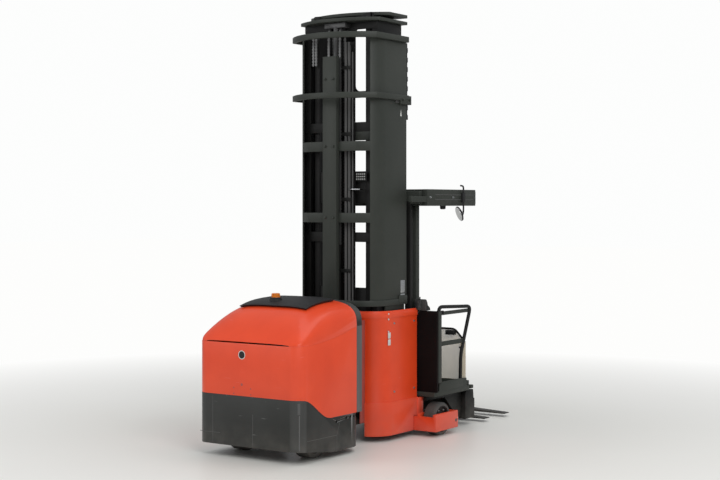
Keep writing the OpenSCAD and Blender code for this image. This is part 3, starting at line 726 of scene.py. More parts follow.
@dataclass
class RearUnit(Part):
    """Rear drive unit: skirt, red panels, hood with its tray and beacon, battery and wheels."""

    skirt_wall: float = 0.012
    seam_w: float = 0.004
    tyre_t: float = 0.045
    badge_z: float = 0.99
    badge_left: float = 0.063

    def build(self) -> None:
        """Builds and dresses everything of the rear unit."""
        shop = self.shop
        shop.softened("skirt", "rear_unit", SKIRT, 0.004)
        shop.softened("rear_panels", "rear_unit", RED, 0.0025)
        shop.softened("seal_strip", "rear_unit", SKIRT, 0.004)
        shop.softened("rear_frame", "rear_unit", FRAME, 0.003)
        shop.softened("drive_axle", "rear_unit", FRAME, 0.003)
        self.hood()
        self.beacon()
        self.battery()
        self.seams()
        self.marks()
        self.corner_guard()
        for side in ("left", "right"):
            shop.wheel(f"drive_wheel_{side}", f"drive_{side}", self.tyre_t, bolts=8)

    def hood(self) -> None:
        """The hood and its tray as smooth shells."""
        for node, finish, width in (("top_hood", RED, 0.0), ("hood_tray", PLASTIC, 0.003)):
            if width:
                self.shop.softened(node, "hood", finish, width)
                continue
            mesh = self.shop.merged(node)
            bmesh.ops.join_triangles(mesh, faces=mesh.faces, angle_face_threshold=0.7,
                                     angle_shape_threshold=0.7)
            crease = mesh.edges.layers.float.new("crease_edge")
            for edge in mesh.edges:
                edge[crease] = 1.0 if edge.calc_face_angle(0.0) > math.radians(55.0) else 0.0
            shell = self.shop.piece(f"{node}_dressed", mesh, "hood", finish, 55.0)
            smooth = shell.modifiers.new("smooth", "SUBSURF")
            smooth.levels = smooth.render_levels = 1
            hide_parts(node)

    def beacon(self) -> None:
        """Amber ribbed lens on its black base."""
        low, high = self.box("beacon")
        centre = (low + high) / 2
        foot = Vector((centre.x, centre.y, low.z))
        radius, tall = (high.x - low.x) / 2, high.z - low.z
        base = Form.lathe([(0.0, 0.0), (radius, 0.0), (radius, 0.008), (0.9 * radius, 0.013), (0.0, 0.013)],
                          foot, (0, 0, 1))
        ribs = [(0.0, 0.013), (0.83 * radius, 0.013)]
        for i in range(8):
            level = 0.016 + (tall - 0.024) * i / 7
            ribs.append(((0.82 if i % 2 else 0.785) * radius - 0.04 * radius * i / 7, level))
        ribs += [(0.66 * radius, tall - 0.001), (0.5 * radius, tall), (0.0, tall)]
        lens = self.shop.piece("beacon_lens", Form.lathe(ribs, foot, (0, 0, 1)), "hood", AMBER, 50.0)
        self.shop.piece("beacon_base", base, "hood", PLASTIC)
        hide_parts("beacon")

    def battery(self) -> None:
        """Gives the battery block its finish, and sets cell lids and plugs on it."""
        self.paint(BATTERY, "battery_block")
        low, high = self.box("battery_block")
        rows, columns = 6, 4
        pitch_x, pitch_y = (high.x - low.x) / rows, (high.y - low.y) / columns
        lids, plugs = [], []
        for i in range(rows):
            for j in range(columns):
                x, y = low.x + (i + 0.5) * pitch_x, low.y + (j + 0.5) * pitch_y
                reach = Vector((0.45 * pitch_x, 0.45 * pitch_y, 0.0))
                centre = Vector((x, y, high.z))
                lids.append(Form.slab(centre - reach, centre + reach + Vector((0, 0, 0.012)), 0.003))
                plugs.append(Form.rod(centre, centre + Vector((0, 0, 0.022)), 0.02, 16, width=0.002))
        self.shop.piece("battery_cell_lids", Form.all_of(*lids), "rear_unit", PLASTIC)
        self.shop.piece("battery_plugs", Form.all_of(*plugs), "rear_unit", AMBER)

    def seams(self) -> None:
        """Dark seams of the skirt's panels and the line round its foot."""
        low, high = self.box("skirt")
        side = high.y
        w = self.seam_w
        lines = []
        for sign in (1, -1):
            out = Vector((0, sign * 0.0006, 0))
            wall = sign * (side - 0.002)
            for a, b in (((0.12, 0.216), (0.596, 0.213)), ((0.596, 0.213), (0.596, 0.066)),
                         ((0.596, 0.213), (0.667, 0.387))):
                start, end = self.at(a[0], wall, a[1]), self.at(b[0], wall, b[1])
                along = (end - start).normalized() * (w / 2)
                across = Vector((-along.z, 0, along.x))
                lines.append(Form.plate([start - along - across, end + along - across, end + along + across,
                                         start - along + across], out + Vector((0, sign * 0.002, 0)), 0.0))
        for left, z0, z1 in ((-0.07, 0.127, 0.4355), (0.42, 0.13, 0.58)):
            lines.append(Form.slab(self.at(-0.0006, left - w / 2, z0), self.at(0.004, left + w / 2, z1), 0.0))
        lines.append(Form.slab(self.at(-0.0006, 0.33, 0.228), self.at(0.004, 0.58, 0.232), 0.0))
        self.shop.piece("skirt_seams", Form.all_of(*lines), "rear_unit", SEAL)

    def marks(self) -> None:
        """Blank round badge, and dark red discs on the red rear panel for its service holes and lock: painted shade in
        place of their hollows.
        """
        face = self.at(0.0, self.badge_left, self.badge_z)
        disc = Form.lathe([(0.0, -0.002), (0.036, -0.002), (0.036, 0.0003), (0.0, 0.0004)],
                          face, (-1, 0, 0))
        self.shop.piece("badge_disc", disc, "rear_unit", PLASTIC)
        ring = Form.lathe([(0.035, -0.002), (0.042, -0.002), (0.042, 0.0003), (0.035, 0.0005)], face, (-1, 0, 0))
        self.shop.piece("badge_ring", ring, "rear_unit", PALE)
        # The service holes and the lock are dark red discs standing just proud of the panel: painted shade in place of
        # their hollows.
        holes = []
        for left in (-0.046, 0.160):
            for height in (0.62, 0.675):
                holes.append(Form.rod(self.at(-0.0005, left, height), self.at(0.006, left, height), 0.007, 16))
        holes.append(Form.rod(self.at(-0.0005, self.badge_left, 0.709), self.at(0.006, self.badge_left, 0.709), 0.013, 20))
        self.shop.piece("panel_hole_painted_shade", Form.all_of(*holes), "rear_unit", DARK_RED)

    def corner_guard(self) -> None:
        """Rubbed steel strip down the skirt's right rear corner, with a thin dark sheet of painted shade where its
        latch pocket is.
        """
        low, high = self.box("skirt")
        radius = 0.12
        centre = self.at(radius, low.y + radius, 0.0)
        strips, pocket = [], []
        for angle, half, z0, z1, thick, target in ((228.0, 2.0, 0.135, 0.46, 0.0012, strips),
                                                   (226.0, 6.0, 0.47, 0.575, 0.0008, pocket)):
            for k in range(4):
                a0 = math.radians(angle - half + half * k / 2)
                a1 = math.radians(angle - half + half * (k + 1) / 2)
                rim = radius + thick
                corners = [centre + Vector((math.cos(a) * r, math.sin(a) * r, z0))
                           for a, r in ((a0, radius - 0.003), (a1, radius - 0.003), (a1, rim), (a0, rim))]
                target.append(Form.plate(corners, (0, 0, z1 - z0), 0.0))
        self.shop.piece("corner_strip", Form.all_of(*strips), "rear_unit", OILED)
        # The thin dark sheet laid over the corner above the strip is painted shade in place of the latch pocket's
        # hollow.
        self.shop.piece("corner_pocket_painted_shade", Form.all_of(*pocket), "rear_unit", SEAL)


@dataclass
class FrontChassis(Part):
    """Front chassis: shroud round the mast foot, neck, frame and load wheels."""

    tyre_t: float = 0.035

    def build(self) -> None:
        """Builds and dresses everything of the front chassis."""
        shop = self.shop
        shop.softened("shroud", "chassis", RED, 0.003)
        shop.softened("neck_cover", "chassis", DARK_RED, 0.003)
        shop.softened("front_frame", "chassis", FRAME, 0.003)
        for side in ("left", "right"):
            shop.softened(f"load_bracket_{side}", "chassis", RED, 0.003)
            shop.wheel(f"load_wheel_{side}", f"load_{side}", self.tyre_t, bolts=6)
        self.side_plates()
        self.bracket_bolts()

    def side_plates(self) -> None:
        """Blank plates, marks and screws on the shroud's sides."""
        low, high = self.box("shroud")
        wall = -(high.y - 0.010)
        marks = [Form.rod(self.at(1.62, wall + 0.004, z), self.at(1.62, wall - 0.002, z), 0.009, 20)
                 for z in (1.30, 1.245, 1.12)]
        self.shop.piece("shroud_marks", Form.all_of(*marks), "chassis", PALE)
        plates = [Form.slab(self.at(1.61, wall - 0.0015, z), self.at(1.655, wall + 0.004, z + 0.06), 0.001)
                  for z in (0.98, 1.05)]
        self.shop.piece("shroud_plates", Form.all_of(*plates), "chassis", PALE)
        screws = [Form.bolt(self.at(f, sign * (abs(wall) - 0.0005), z), (0, sign, 0), 0.016)
                  for sign in (1, -1) for f, z in ((1.72, 1.20), (2.10, 1.20), (1.72, 0.50), (2.10, 0.50))]
        self.shop.piece("shroud_screws", Form.all_of(*screws), "chassis", STEEL)

    def bracket_bolts(self) -> None:
        """Towing holes near the front ends of the load-wheel brackets, drawn as dark discs of painted shade, and axle
        ends inside.
        """
        holes, caps = [], []
        for sign, side in ((1, "left"), (-1, "right")):
            low, high = self.box(f"load_bracket_{side}")
            face = high.y if sign > 0 else low.y
            # Each towing hole is a dark disc just proud of the bracket: painted shade in place of the hole.
            mouth = self.at(2.492, face + sign * 0.0004, 0.136)
            holes.append(Form.rod(mouth - Vector((0, sign * 0.004, 0)), mouth, 0.018, 24))
            wheel_low, wheel_high = self.box(f"load_wheel_{side}")
            hub = (wheel_low + wheel_high) / 2
            rim = wheel_high.y if sign > 0 else wheel_low.y
            caps.append(Form.rod((hub.x, rim - sign * 0.004, hub.z), (hub.x, rim + sign * 0.004, hub.z), 0.034, 24,
                                 width=0.001))
        self.shop.piece("bracket_hole_painted_shade", Form.all_of(*holes), "chassis", SEAL)
        self.shop.piece("axle_caps", Form.all_of(*caps), "chassis", STEEL)
        step = []
        for sign in (1, -1):
            a, b = sorted((sign * 0.530, sign * 0.5595))
            step.append(Form.slab(self.at(2.152, a, 0.062), self.at(2.258, b, 0.392), 0.006))
        self.shop.piece("shroud_foot", Form.all_of(*step), "chassis", RED)


@dataclass
class Mast(Part):
    """Telescopic mast: rounded side shells, ladder, hoops, caps, cylinder, chains and hoses."""

    rear: float = 1.380
    front: float = 2.020
    half: float = 0.500
    corner: float = 0.250
    lip: float = 0.425
    wall: float = 0.014
    foot: float = 1.380
    top: float = 4.160
    middle_top: float = 4.320
    inner_top: float = 4.390
    cap_h: float = 0.034
    channel_half: float = 0.361
    flange: float = 0.070
    plate_top: float = 4.352
    hoop_levels: tuple[float, float] = (3.490, 4.100)
    bar_levels: tuple[float, float] = (2.230, 2.960)

    def build(self) -> None:
        """Builds and dresses everything of the mast."""
        shop = self.shop
        self.shells()
        self.ladder()
        self.hoops()
        shop.softened("lift_cylinder", "chassis", FRAME, 0.002)
        shop.softened("lift_rod", "middle_mast", OILED, 0.002)
        shop.softened("hose_chain", "chassis", PLASTIC, 0.002)
        self.columns()
        self.caps()
        self.chains()
        self.pipes()
        self.clamps()
        self.plates()

    def x(self, station: float) -> float:
        """X of a station ahead of the rear bumper."""
        return self.shop.rear_x + station

    def shells(self) -> None:
        """Side shells with wide rounded rear corners."""
        reach = math.acos((self.lip + self.corner - self.half) / self.corner)
        for sign, side in ((1, "left"), (-1, "right")):
            walls = []
            for radius in (self.corner, self.corner - self.wall):
                arc = [self.at(self.rear + self.corner - radius * math.sin(a),
                               sign * (self.half - self.corner + radius * math.cos(a)), self.foot)
                       for a in (reach * i / 12 for i in range(12, -1, -1))]
                out = self.half - self.corner + radius
                walls.append(arc + [self.at(self.front, sign * out, self.foot)])
            shell = self.shop.piece(f"mast_shell_{side}_dressed",
                                    Form.band(walls[0], walls[1], self.top - self.foot, 0.002), "chassis", MAST)
            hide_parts(f"mast_shell_{side}")

    def ladder(self) -> None:
        """Centre post, crossbars bent forward to the shells and the uprights inside them."""
        lip_f = self.rear + self.corner - math.sqrt(self.corner ** 2 - (self.lip + self.corner - self.half) ** 2)
        bend = self.lip - 0.125
        parts = [Form.slab(self.at(1.335, -0.085, 1.440), self.at(1.392, 0.085, 3.930), 0.004)]
        for level in self.bar_levels:
            rows = ((self.rear, -bend), (self.rear, bend), (lip_f, self.lip), (lip_f + 0.03, self.lip),
                    (self.rear + 0.03, bend - 0.01), (self.rear + 0.03, 0.01 - bend),
                    (lip_f + 0.03, -self.lip), (lip_f, -self.lip))
            parts.append(Form.plate([self.at(f, y, level) for f, y in rows], (0, 0, 0.1), 0.003))
        for sign in (1, -1):
            inner, outer = sorted((sign * 0.466, sign * 0.4857))
            parts.append(Form.slab(self.at(1.64, inner, 0.250), self.at(2.000, outer, self.top), 0.003))
            parts.append(Form.slab(self.at(2.0, min(inner, outer), 1.44), self.at(2.012, outer, self.top), 0.002)
                         if sign > 0 else Form.slab(self.at(2.0, inner, 1.44), self.at(2.012, outer, self.top), 0.002))
        frame = self.shop.piece("mast_ladder_dressed", Form.all_of(*parts), "chassis", MAST)
        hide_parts("mast_ladder")

    def hoops(self) -> None:
        """Two D-shaped hoops that stand out behind the mast and the ring round its foot."""
        front = self.x(self.front)
        parts = []
        for level in self.hoop_levels:
            outer = Form.d_outline(self.x(self.rear - 0.2), self.x(self.rear + 0.04), front, self.half + 0.035, level)
            inner = Form.d_outline(self.x(self.rear - 0.165), self.x(self.rear + 0.053), front,
                                   self.half + 0.0004, level)
            parts.append(Form.band(outer, inner, 0.06, 0.006))
        outer = Form.round_outline(self.x(self.rear - 0.008), front, self.half + 0.008, self.corner + 0.008, self.foot)
        inner = Form.round_outline(self.x(self.rear - 0.0004), front, self.half + 0.0004, self.corner, self.foot)
        parts.append(Form.band(outer, inner, 0.06, 0.002))
        ring = self.shop.piece("mast_hoops", Form.all_of(*parts), "chassis", MAST)
        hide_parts("mast_rings")

    def columns(self) -> None:
        """Middle mast with its lower tie plate, and the inner mast's channels, ties and rollers."""
        made = self.shop.softened("mid_mast", "middle_mast", FRAME, 0.003)
        crown = max(v.co.z for v in made.data.vertices)
        for vertex in made.data.vertices:
            if vertex.co.z > crown - 0.0045:
                vertex.co.z -= 0.0055
        tie = Form.slab(self.at(1.5345, -0.450, 3.072), self.at(1.5455, -0.080, 3.20), 0.001)
        self.shop.piece("mid_mast_tie", tie, "middle_mast", MAST)
        low, high = self.box("inner_mast")
        half, foot, top = self.channel_half, low.z, high.z - 0.005
        rear, face = self.shop.rear_x + 1.570, self.shop.rear_x + 1.990
        parts = []
        for sign in (1, -1):
            for f0, f1, inner in ((rear, face, half - 0.012), (rear, rear + 0.016, half - self.flange),
                                  (face - 0.016, face, half - self.flange)):
                a, b = sorted((sign * inner, sign * half))
                parts.append(Form.slab((f0, a, foot), (f1, b, top), 0.002))
            for z in (foot + 0.08, foot + 0.9):
                parts.append(Form.rod((face - 0.067, sign * (half - 0.001), z), (face - 0.067, sign * 0.434, z), 0.05, 28,
                                      width=0.002))
        for z0, z1 in ((4.250, 4.370), (2.430, 2.750), (foot, 1.560)):
            parts.append(Form.slab((rear + 0.008, 0.001 - half, z0), (rear + 0.020, half - 0.001, z1), 0.001))
        made = self.shop.piece("inner_mast_dressed", Form.all_of(*parts), "inner", FRAME)
        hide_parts("inner_mast")
        self.slot_plate(face)

    def slot_plate(self, face: float) -> None:
        """Front plate of the inner mast with its long round-ended slot.

        Args:
            face: X of the plate's rear face.
        """
        parts = []
        for sign in (1, -1):
            outer = [(0.0, self.plate_top), (0.360, self.plate_top), (0.360, 3.88), (0.250, 3.88), (0.250, 3.55),
                     (0.0, 3.55)]
            slot = [(0.0, 3.62)]
            for middle, start in ((3.68, -90.0), (4.23, 0.0)):
                slot += [(0.069 + 0.06 * math.cos(math.radians(start + 15.0 * k)),
                          middle + 0.06 * math.sin(math.radians(start + 15.0 * k))) for k in range(7)]
            slot.append((0.0, 4.29))
            corners = [Vector((face, sign * y, z)) for y, z in outer + slot]
            parts.append(Form.plate(corners, (0.012, 0, 0), 0.0))
        self.shop.piece("inner_mast_slot_plate", Form.all_of(*parts), "inner", FRAME)

    def caps(self) -> None:
        """D-shaped cap plates of the middle and the inner mast."""
        front = self.x(self.front + 0.02)
        for name, body, apex, top, cut_f, cut_y in (
                ("mid_mast_cap", "middle_mast", self.rear - 0.02, self.middle_top, 1.552, 0.375),
                ("inner_mast_cap", "inner", self.rear + 0.16, self.inner_top, 1.79, 0.345)):
            level = top - self.cap_h
            outer = Form.d_outline(self.x(apex), self.x(apex + 0.16), front, self.half, level)
            cut = self.x(cut_f)
            inner = [Vector((front, cut_y, level)), Vector((cut, cut_y, level)),
                     Vector((cut, -cut_y, level)), Vector((front, -cut_y, level))]
            self.shop.piece(name, Form.band(outer, inner, self.cap_h, 0.004), body, MAST)

    def leaf_chain(self, station: float, left: float, low: float, high: float) -> bmesh.types.BMesh:
        """A leaf chain that hangs straight.

        Args:
            station: Its station.
            left: Its distance to the left.
            low: Its lower end.
            high: Its upper end.

        Returns:
            The chain as a bmesh.
        """
        pitch = 0.032
        parts = [Form.slab(self.at(station - 0.004, left - 0.009, low), self.at(station + 0.004, left + 0.009, high),
                           0.0)]
        for i in range(int((high - low) / pitch)):
            z = low + pitch * (i + 0.5)
            parts.append(Form.slab(self.at(station - 0.007, left - 0.013, z - 0.009),
                                   self.at(station + 0.007, left + 0.013, z + 0.009), 0.0))
        return Form.all_of(*parts)

    def chains(self) -> None:
        """Lift chains: strands to the outer mast and strands that rise with the sheaves."""
        fixed = [self.leaf_chain(1.427, y, 2.0, 3.90) for y in (0.07, -0.07)]
        self.shop.piece("lift_chain_fixed", Form.all_of(*fixed), "chassis", OILED)
        moving = [self.leaf_chain(1.517, y, 1.6, 4.17) for y in (0.07, -0.07)]
        moving += [self.leaf_chain(1.427, y, 3.90, 4.17) for y in (0.07, -0.07)]
        self.shop.piece("lift_chain_moving", Form.all_of(*moving), "middle_mast", OILED)
        tails = [self.leaf_chain(1.52, y, 3.86, 4.16) for y in (0.30, 0.335)]
        self.shop.piece("cab_lift_chain", Form.all_of(*tails), "chassis", OILED)

    def pipes(self) -> None:
        """Hydraulic pipes and hoses beside the cylinder, with their clips."""
        tubes = [Form.tube([self.at(f, y, 1.30), self.at(f, y, top)], r, 0.0, 14)
                 for f, y, r, top in ((1.470, -0.112, 0.016, 4.08), (1.470, -0.152, 0.013, 4.08),
                                      (1.512, -0.135, 0.012, 4.05), (1.480, 0.110, 0.013, 4.08),
                                      (1.500, -0.176, 0.009, 3.98), (1.470, 0.150, 0.011, 3.9))]
        self.shop.piece("mast_hoses", Form.all_of(*tubes), "chassis", SEAL)
        guard = [Form.slab(self.at(1.5255, -0.186, 1.30), self.at(1.5305, -0.010, 4.085), 0.001),
                 Form.slab(self.at(1.516, -0.192, 1.30), self.at(1.5305, -0.185, 4.085), 0.001)]
        self.shop.piece("hose_guard", Form.all_of(*guard), "chassis", FRAME)
        clips = [Form.slab(self.at(1.450, -0.192, z), self.at(1.462, 0.165, z + 0.035), 0.002)
                 for z in (1.72, 2.45, 3.12, 3.80)]
        self.shop.piece("hose_clips", Form.all_of(*clips), "chassis", FRAME)
        mesh = Form.slab(self.at(1.528, -0.33, 2.655), self.at(1.531, -0.165, 2.755), 0.0)
        self.shop.piece("mast_mesh_plate", mesh, "chassis", FRAME)
        dots = [Form.rod(self.at(1.527, -0.185 - 0.024 * i, 2.675 + 0.026 * j),
                         self.at(1.5285, -0.185 - 0.024 * i, 2.675 + 0.026 * j), 0.006, 10)
                for i in range(6) for j in range(3)]
        self.shop.piece("mesh_plate_holes", Form.all_of(*dots), "chassis", PALE)
        shelf = Form.slab(self.at(1.45, -0.30, 2.565), self.at(1.53, -0.16, 2.575), 0.001)
        self.shop.piece("mast_shelf", shelf, "chassis", STEEL)

    def clamps(self) -> None:
        """Hose-chain bracket at the lower hoop, the clamp at the mast foot and their bolts."""
        side = -self.half
        parts = [Form.slab(self.at(1.86, side - 0.034, 3.452), self.at(2.064, side + 0.002, 3.545), 0.005),
                 Form.slab(self.at(2.021, -0.495, 3.452), self.at(2.068, -0.38, 3.545), 0.004)]
        self.shop.piece("hose_chain_bracket", Form.all_of(*parts), "chassis", MAST)
        # A dark block on the shell beside the bracket: painted shade in place of the bracket's pocket.
        pocket = Form.slab(self.at(1.80, side - 0.012, 3.46), self.at(1.862, side + 0.002, 3.54), 0.002)
        self.shop.piece("bracket_pocket_painted_shade", pocket, "chassis", SEAL)
        bolts = [Form.bolt(self.at(f, side - 0.034, 3.50), (0, -1, 0), 0.020) for f in (1.90, 2.03)]
        bolts += [Form.bolt(self.at(1.335, y, z), (-1, 0, 0), 0.022)
                  for z in (2.28, 3.01, 3.70) for y in (-0.05, 0.05)]
        self.shop.piece("mast_bolts", Form.all_of(*bolts), "chassis", MAST)
        links = []
        for i in range(26):
            z = 2.62 + 0.026 * i
            wide = 0.0 if i % 2 else 0.005
            links.append(Form.slab(self.at(2.021, -0.475 - wide, z), self.at(2.046 + wide, -0.435 + wide, z + 0.022),
                                   0.002))
        self.shop.piece("hose_chain_lower", Form.all_of(*links), "chassis", PLASTIC)
        foot = [Form.slab(self.at(1.86, side - 0.012, 1.395), self.at(2.019, side + 0.002, 1.475), 0.004)]
        self.shop.piece("mast_foot_box", Form.all_of(*foot), "chassis", MAST)

    def plates(self) -> None:
        """Two blank plates and a small drop-shaped mark on the right shell."""
        side = -self.half
        blanks = [Form.slab(self.at(1.905, side - 0.0012, z0), self.at(1.985, side + 0.002, z1), 0.0008)
                  for z0, z1 in ((1.50, 1.63), (1.447, 1.49))]
        self.shop.piece("mast_blank_plates", Form.all_of(*blanks), "chassis", STEEL)
        drop = Form.plate([self.at(1.898, side + 0.001, 3.33), self.at(1.926, side + 0.001, 3.33),
                           self.at(1.912, side + 0.001, 3.40)], (0, -0.002, 0), 0.0)
        self.shop.piece("mast_mark", drop, "chassis", PALE)


@dataclass
class Cab(Part):
    """Lifting cab: floor, back wall, roof guard, gates, console, mirror and front panel."""

    rear: float = 2.200
    front: float = 2.995
    half: float = 0.760
    post_y: float = 0.475
    floor: float = 0.450
    roof: float = 2.400
    gate_y: float = 0.705
    gate_path: tuple[tuple[float, float], ...] = ((2.325, 0.92), (2.325, 1.337), (2.995, 1.306),
                                                  (2.785, 0.80), (2.775, 0.478))

    def build(self) -> None:
        """Builds and dresses everything of the cab."""
        shop = self.shop
        # The back wall takes the darker, duller copy of the frame paint: painted shade.
        for node, finish in (("cab_carriage", FRAME), ("cab_floor", MAST), ("cab_back", FRAME_PAINT_SHADED),
                             ("roof_guard", MAST), ("console", PLASTIC), ("traverse_frame", FRAME)):
            shop.softened(node, "cab", finish, 0.004)
        self.posts()
        self.pane()
        self.floor_edges()
        for side, sign in (("left", 1), ("right", -1)):
            self.gate(side, sign)
        self.roof_fittings()
        self.mirror()
        self.controls()
        self.hose()

    def posts(self) -> None:
        """Grey posts in the cab and the carriage's black uprights behind the back wall."""
        self.shop.softened("cab_posts", "cab", MAST, 0.006)
        uprights = []
        for sign in (1, -1):
            low, high = sorted((sign * (self.post_y - 0.035), sign * (self.post_y + 0.035)))
            uprights.append(Form.slab(self.at(2.078, low, 0.50), self.at(2.1235, high, self.roof + 0.05), 0.003))
            a, b = sorted((sign * 0.33, sign * 0.45))
            for z in (0.52, 1.18):
                uprights.append(Form.slab(self.at(2.085, a, z), self.at(2.12, b, z + 0.06), 0.003))
        self.shop.piece("carriage_uprights", Form.all_of(*uprights), "cab", FRAME)
        tie = Form.slab(self.at(2.08, -0.62, self.roof + 0.02), self.at(2.19, 0.62, self.roof + 0.155), 0.004)
        self.shop.piece("roof_rear_beam", tie, "cab", MAST)

    def pane(self) -> None:
        """Tinted front panel with its cut corner, side returns, rail and control box."""
        face = self.box("front_panel")[0].x - self.shop.rear_x
        outline = [(0.690, 0.505), (0.690, 1.050), (-0.580, 1.050), (-0.690, 0.930), (-0.690, 0.505)]
        glass = Form.plate([self.at(face, y, z) for y, z in outline], (0.008, 0, 0), 0.001)
        made = self.shop.piece("front_panel_pane", glass, "cab", PANE)
        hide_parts("front_panel")
        wings = []
        for sign, top in ((1, 1.050), (-1, 0.930)):
            a, b = sorted((sign * 0.691, sign * 0.699))
            wings.append(Form.slab(self.at(face - 0.10, a, 0.505), self.at(face + 0.008, b, top), 0.001))
        self.shop.piece("front_panel_wings", Form.all_of(*wings), "cab", PANE)
        rail = Form.tube([self.at(face - 0.12, 0.68, 1.06), self.at(face - 0.012, 0.68, 1.06),
                          self.at(face - 0.012, -0.570, 1.06), self.at(face - 0.012, -0.690, 0.935),
                          self.at(face - 0.10, -0.690, 0.932)], 0.011, 0.04)
        self.shop.piece("front_panel_rail", rail, "cab", FRAME)
        box = Form.slab(self.at(face - 0.06, -0.585, 0.995), self.at(face - 0.002, -0.475, 1.045), 0.008)
        self.shop.piece("rail_control_box", box, "cab", PLASTIC)

    def floor_edges(self) -> None:
        """Front step, side kick plates and the rubber mat."""
        step = [Form.slab(self.at(2.96, -0.732, 0.412), self.at(self.front + 0.02, 0.732, 0.45), 0.006),
                Form.slab(self.at(2.92, -0.70, 0.45), self.at(self.front - 0.02, 0.70, 0.50), 0.004)]
        for sign in (1, -1):
            a, b = sorted((sign * 0.715, sign * 0.7305))
            step.append(Form.slab(self.at(2.30, a, 0.452), self.at(2.80, b, 0.545), 0.003))
        self.shop.piece("cab_step", Form.all_of(*step), "cab", MAST)
        under = []
        for sign in (1, -1):
            a, b = sorted((sign * 0.50, sign * 0.60))
            under.append(Form.slab(self.at(2.25, a, 0.348), self.at(2.975, b, 0.399), 0.004))
            brace = [self.at(2.62, sign * 0.585, 0.35), self.at(2.972, sign * 0.585, 0.35),
                     self.at(2.972, sign * 0.585, 0.10), self.at(2.90, sign * 0.585, 0.10)]
            under.append(Form.plate(brace, (0, sign * 0.014, 0), 0.001))
        self.shop.piece("cab_underframe", Form.all_of(*under), "cab", FRAME)
        ribs = [Form.slab(self.at(2.33, -0.66 + 0.03 * i, 0.461), self.at(2.76, -0.646 + 0.03 * i, 0.4645), 0.0)
                for i in range(45)]
        self.shop.piece("mat_ribs", Form.all_of(*ribs), "cab", SEAL)

    def gate(self, side: str, sign: int) -> None:
        """One lift-up side gate: a bent tube with two flat bars.

        Args:
            side: Its side, left or right.
            sign: 1 on the left and -1 on the right.
        """
        y = sign * self.gate_y
        loop = Form.tube([self.at(f, y, z) for f, z in self.gate_path], 0.019, 0.075, 18, 8)
        bars = [Form.slab(self.at(2.335, y - 0.005, 0.92), self.at(2.835, y + 0.005, 0.968), 0.001),
                Form.slab(self.at(2.33, y - 0.004, 1.245), self.at(2.945, y + 0.004, 1.285), 0.001)]
        body = f"{side}_gate"
        made = self.shop.piece(f"gate_{side}_tube", loop, body, FRAME, 50.0)
        self.shop.piece(f"gate_{side}_bars", Form.all_of(*bars), body, MAST)
        knob = Form.rod(self.at(2.812, y, 0.87), self.at(2.812, y - sign * 0.034, 0.87), 0.010, 16, width=0.002)
        self.shop.piece(f"gate_{side}_knob", knob, body, PLASTIC)
        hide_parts(f"gate_{side}")

    def roof_fittings(self) -> None:
        """End plates of the roof's side beams, the strip lamp and the small lamps."""
        plates = []
        for sign in (1, -1):
            low, high = sorted((sign * 0.622, sign * 0.678))
            outline = [(low, 2.42), (low + 0.012, 2.404), (high - 0.012, 2.404), (high, 2.42), (high, 2.555),
                       (high - 0.012, 2.571), (low + 0.012, 2.571), (low, 2.555)]
            plates.append(Form.plate([self.at(3.1495, y, z) for y, z in outline], (0.006, 0, 0), 0.001))
        self.shop.piece("roof_end_plates", Form.all_of(*plates), "cab", MAST)
        # Thin dark strips laid along the roof's side beams: painted shade standing in for two grooved lines in each
        # beam.
        groove_shade_strips = [Form.slab(self.at(2.30, -0.6812, z), self.at(3.10, -0.679, z + 0.006), 0.0) for z in (2.465, 2.515)]
        groove_shade_strips += [Form.slab(self.at(2.30, 0.679, z), self.at(3.10, 0.6812, z + 0.006), 0.0) for z in (2.465, 2.515)]
        self.shop.piece("roof_groove_painted_shade", Form.all_of(*groove_shade_strips), "cab", SEAL)
        lamp = Form.slab(self.at(2.27, -0.615, 2.402), self.at(2.54, -0.56, 2.425), 0.004)
        self.shop.piece("roof_strip_lamp", lamp, "cab", PALE)
        small = Form.lathe([(0.0, 0.0), (0.032, 0.0), (0.030, 0.035), (0.02, 0.042), (0.0, 0.042)],
                           self.at(2.62, -0.58, 2.405), (0, 0, -1), 24)
        self.shop.piece("roof_spot_lamp", small, "cab", PLASTIC)
        bolts = [Form.bolt(self.at(f, -0.68, 2.49), (0, -1, 0), 0.018) for f in (2.66, 2.20)]
        self.shop.piece("roof_bolts", Form.all_of(*bolts), "cab", STEEL)

    def mirror(self) -> None:
        """Round mirror on its bent arm at the roof's right edge."""
        body = "cab"
        low, high = self.box("mirror_round")
        back = Vector((0.74, -0.62, 0.36)).normalized()
        centre = Vector((low.x + 0.088, low.y + 0.083, 2.315))
        dish = Form.lathe([(0.0, 0.006), (0.045, 0.003), (0.078, -0.006), (0.082, 0.0), (0.080, 0.010),
                           (0.05, 0.024), (0.0, 0.028)], centre, back, 48)
        made = self.shop.piece("mirror_back", dish, body, PLASTIC)
        glass = Form.lathe([(0.0, -0.004), (0.045, -0.002), (0.077, -0.005), (0.077, 0.002), (0.0, 0.003)],
                           centre - back * 0.003, back, 48)
        self.shop.piece("mirror_face", glass, body, MIRROR)
        top = self.at(2.86, -0.696, 2.615)
        arm = Form.tube([self.at(2.80, -0.696, 2.618), top, self.at(2.86, -0.696, 2.34),
                         self.at(2.82, -0.71, 2.30), centre + back * 0.02], 0.009, 0.03)
        self.shop.piece("mirror_arm", arm, body, PLASTIC)
        clamp = Form.slab(self.at(2.835, -0.708, 2.44), self.at(2.885, -0.679, 2.54), 0.004)
        self.shop.piece("mirror_clamp", clamp, body, PLASTIC)
        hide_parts("mirror_round")

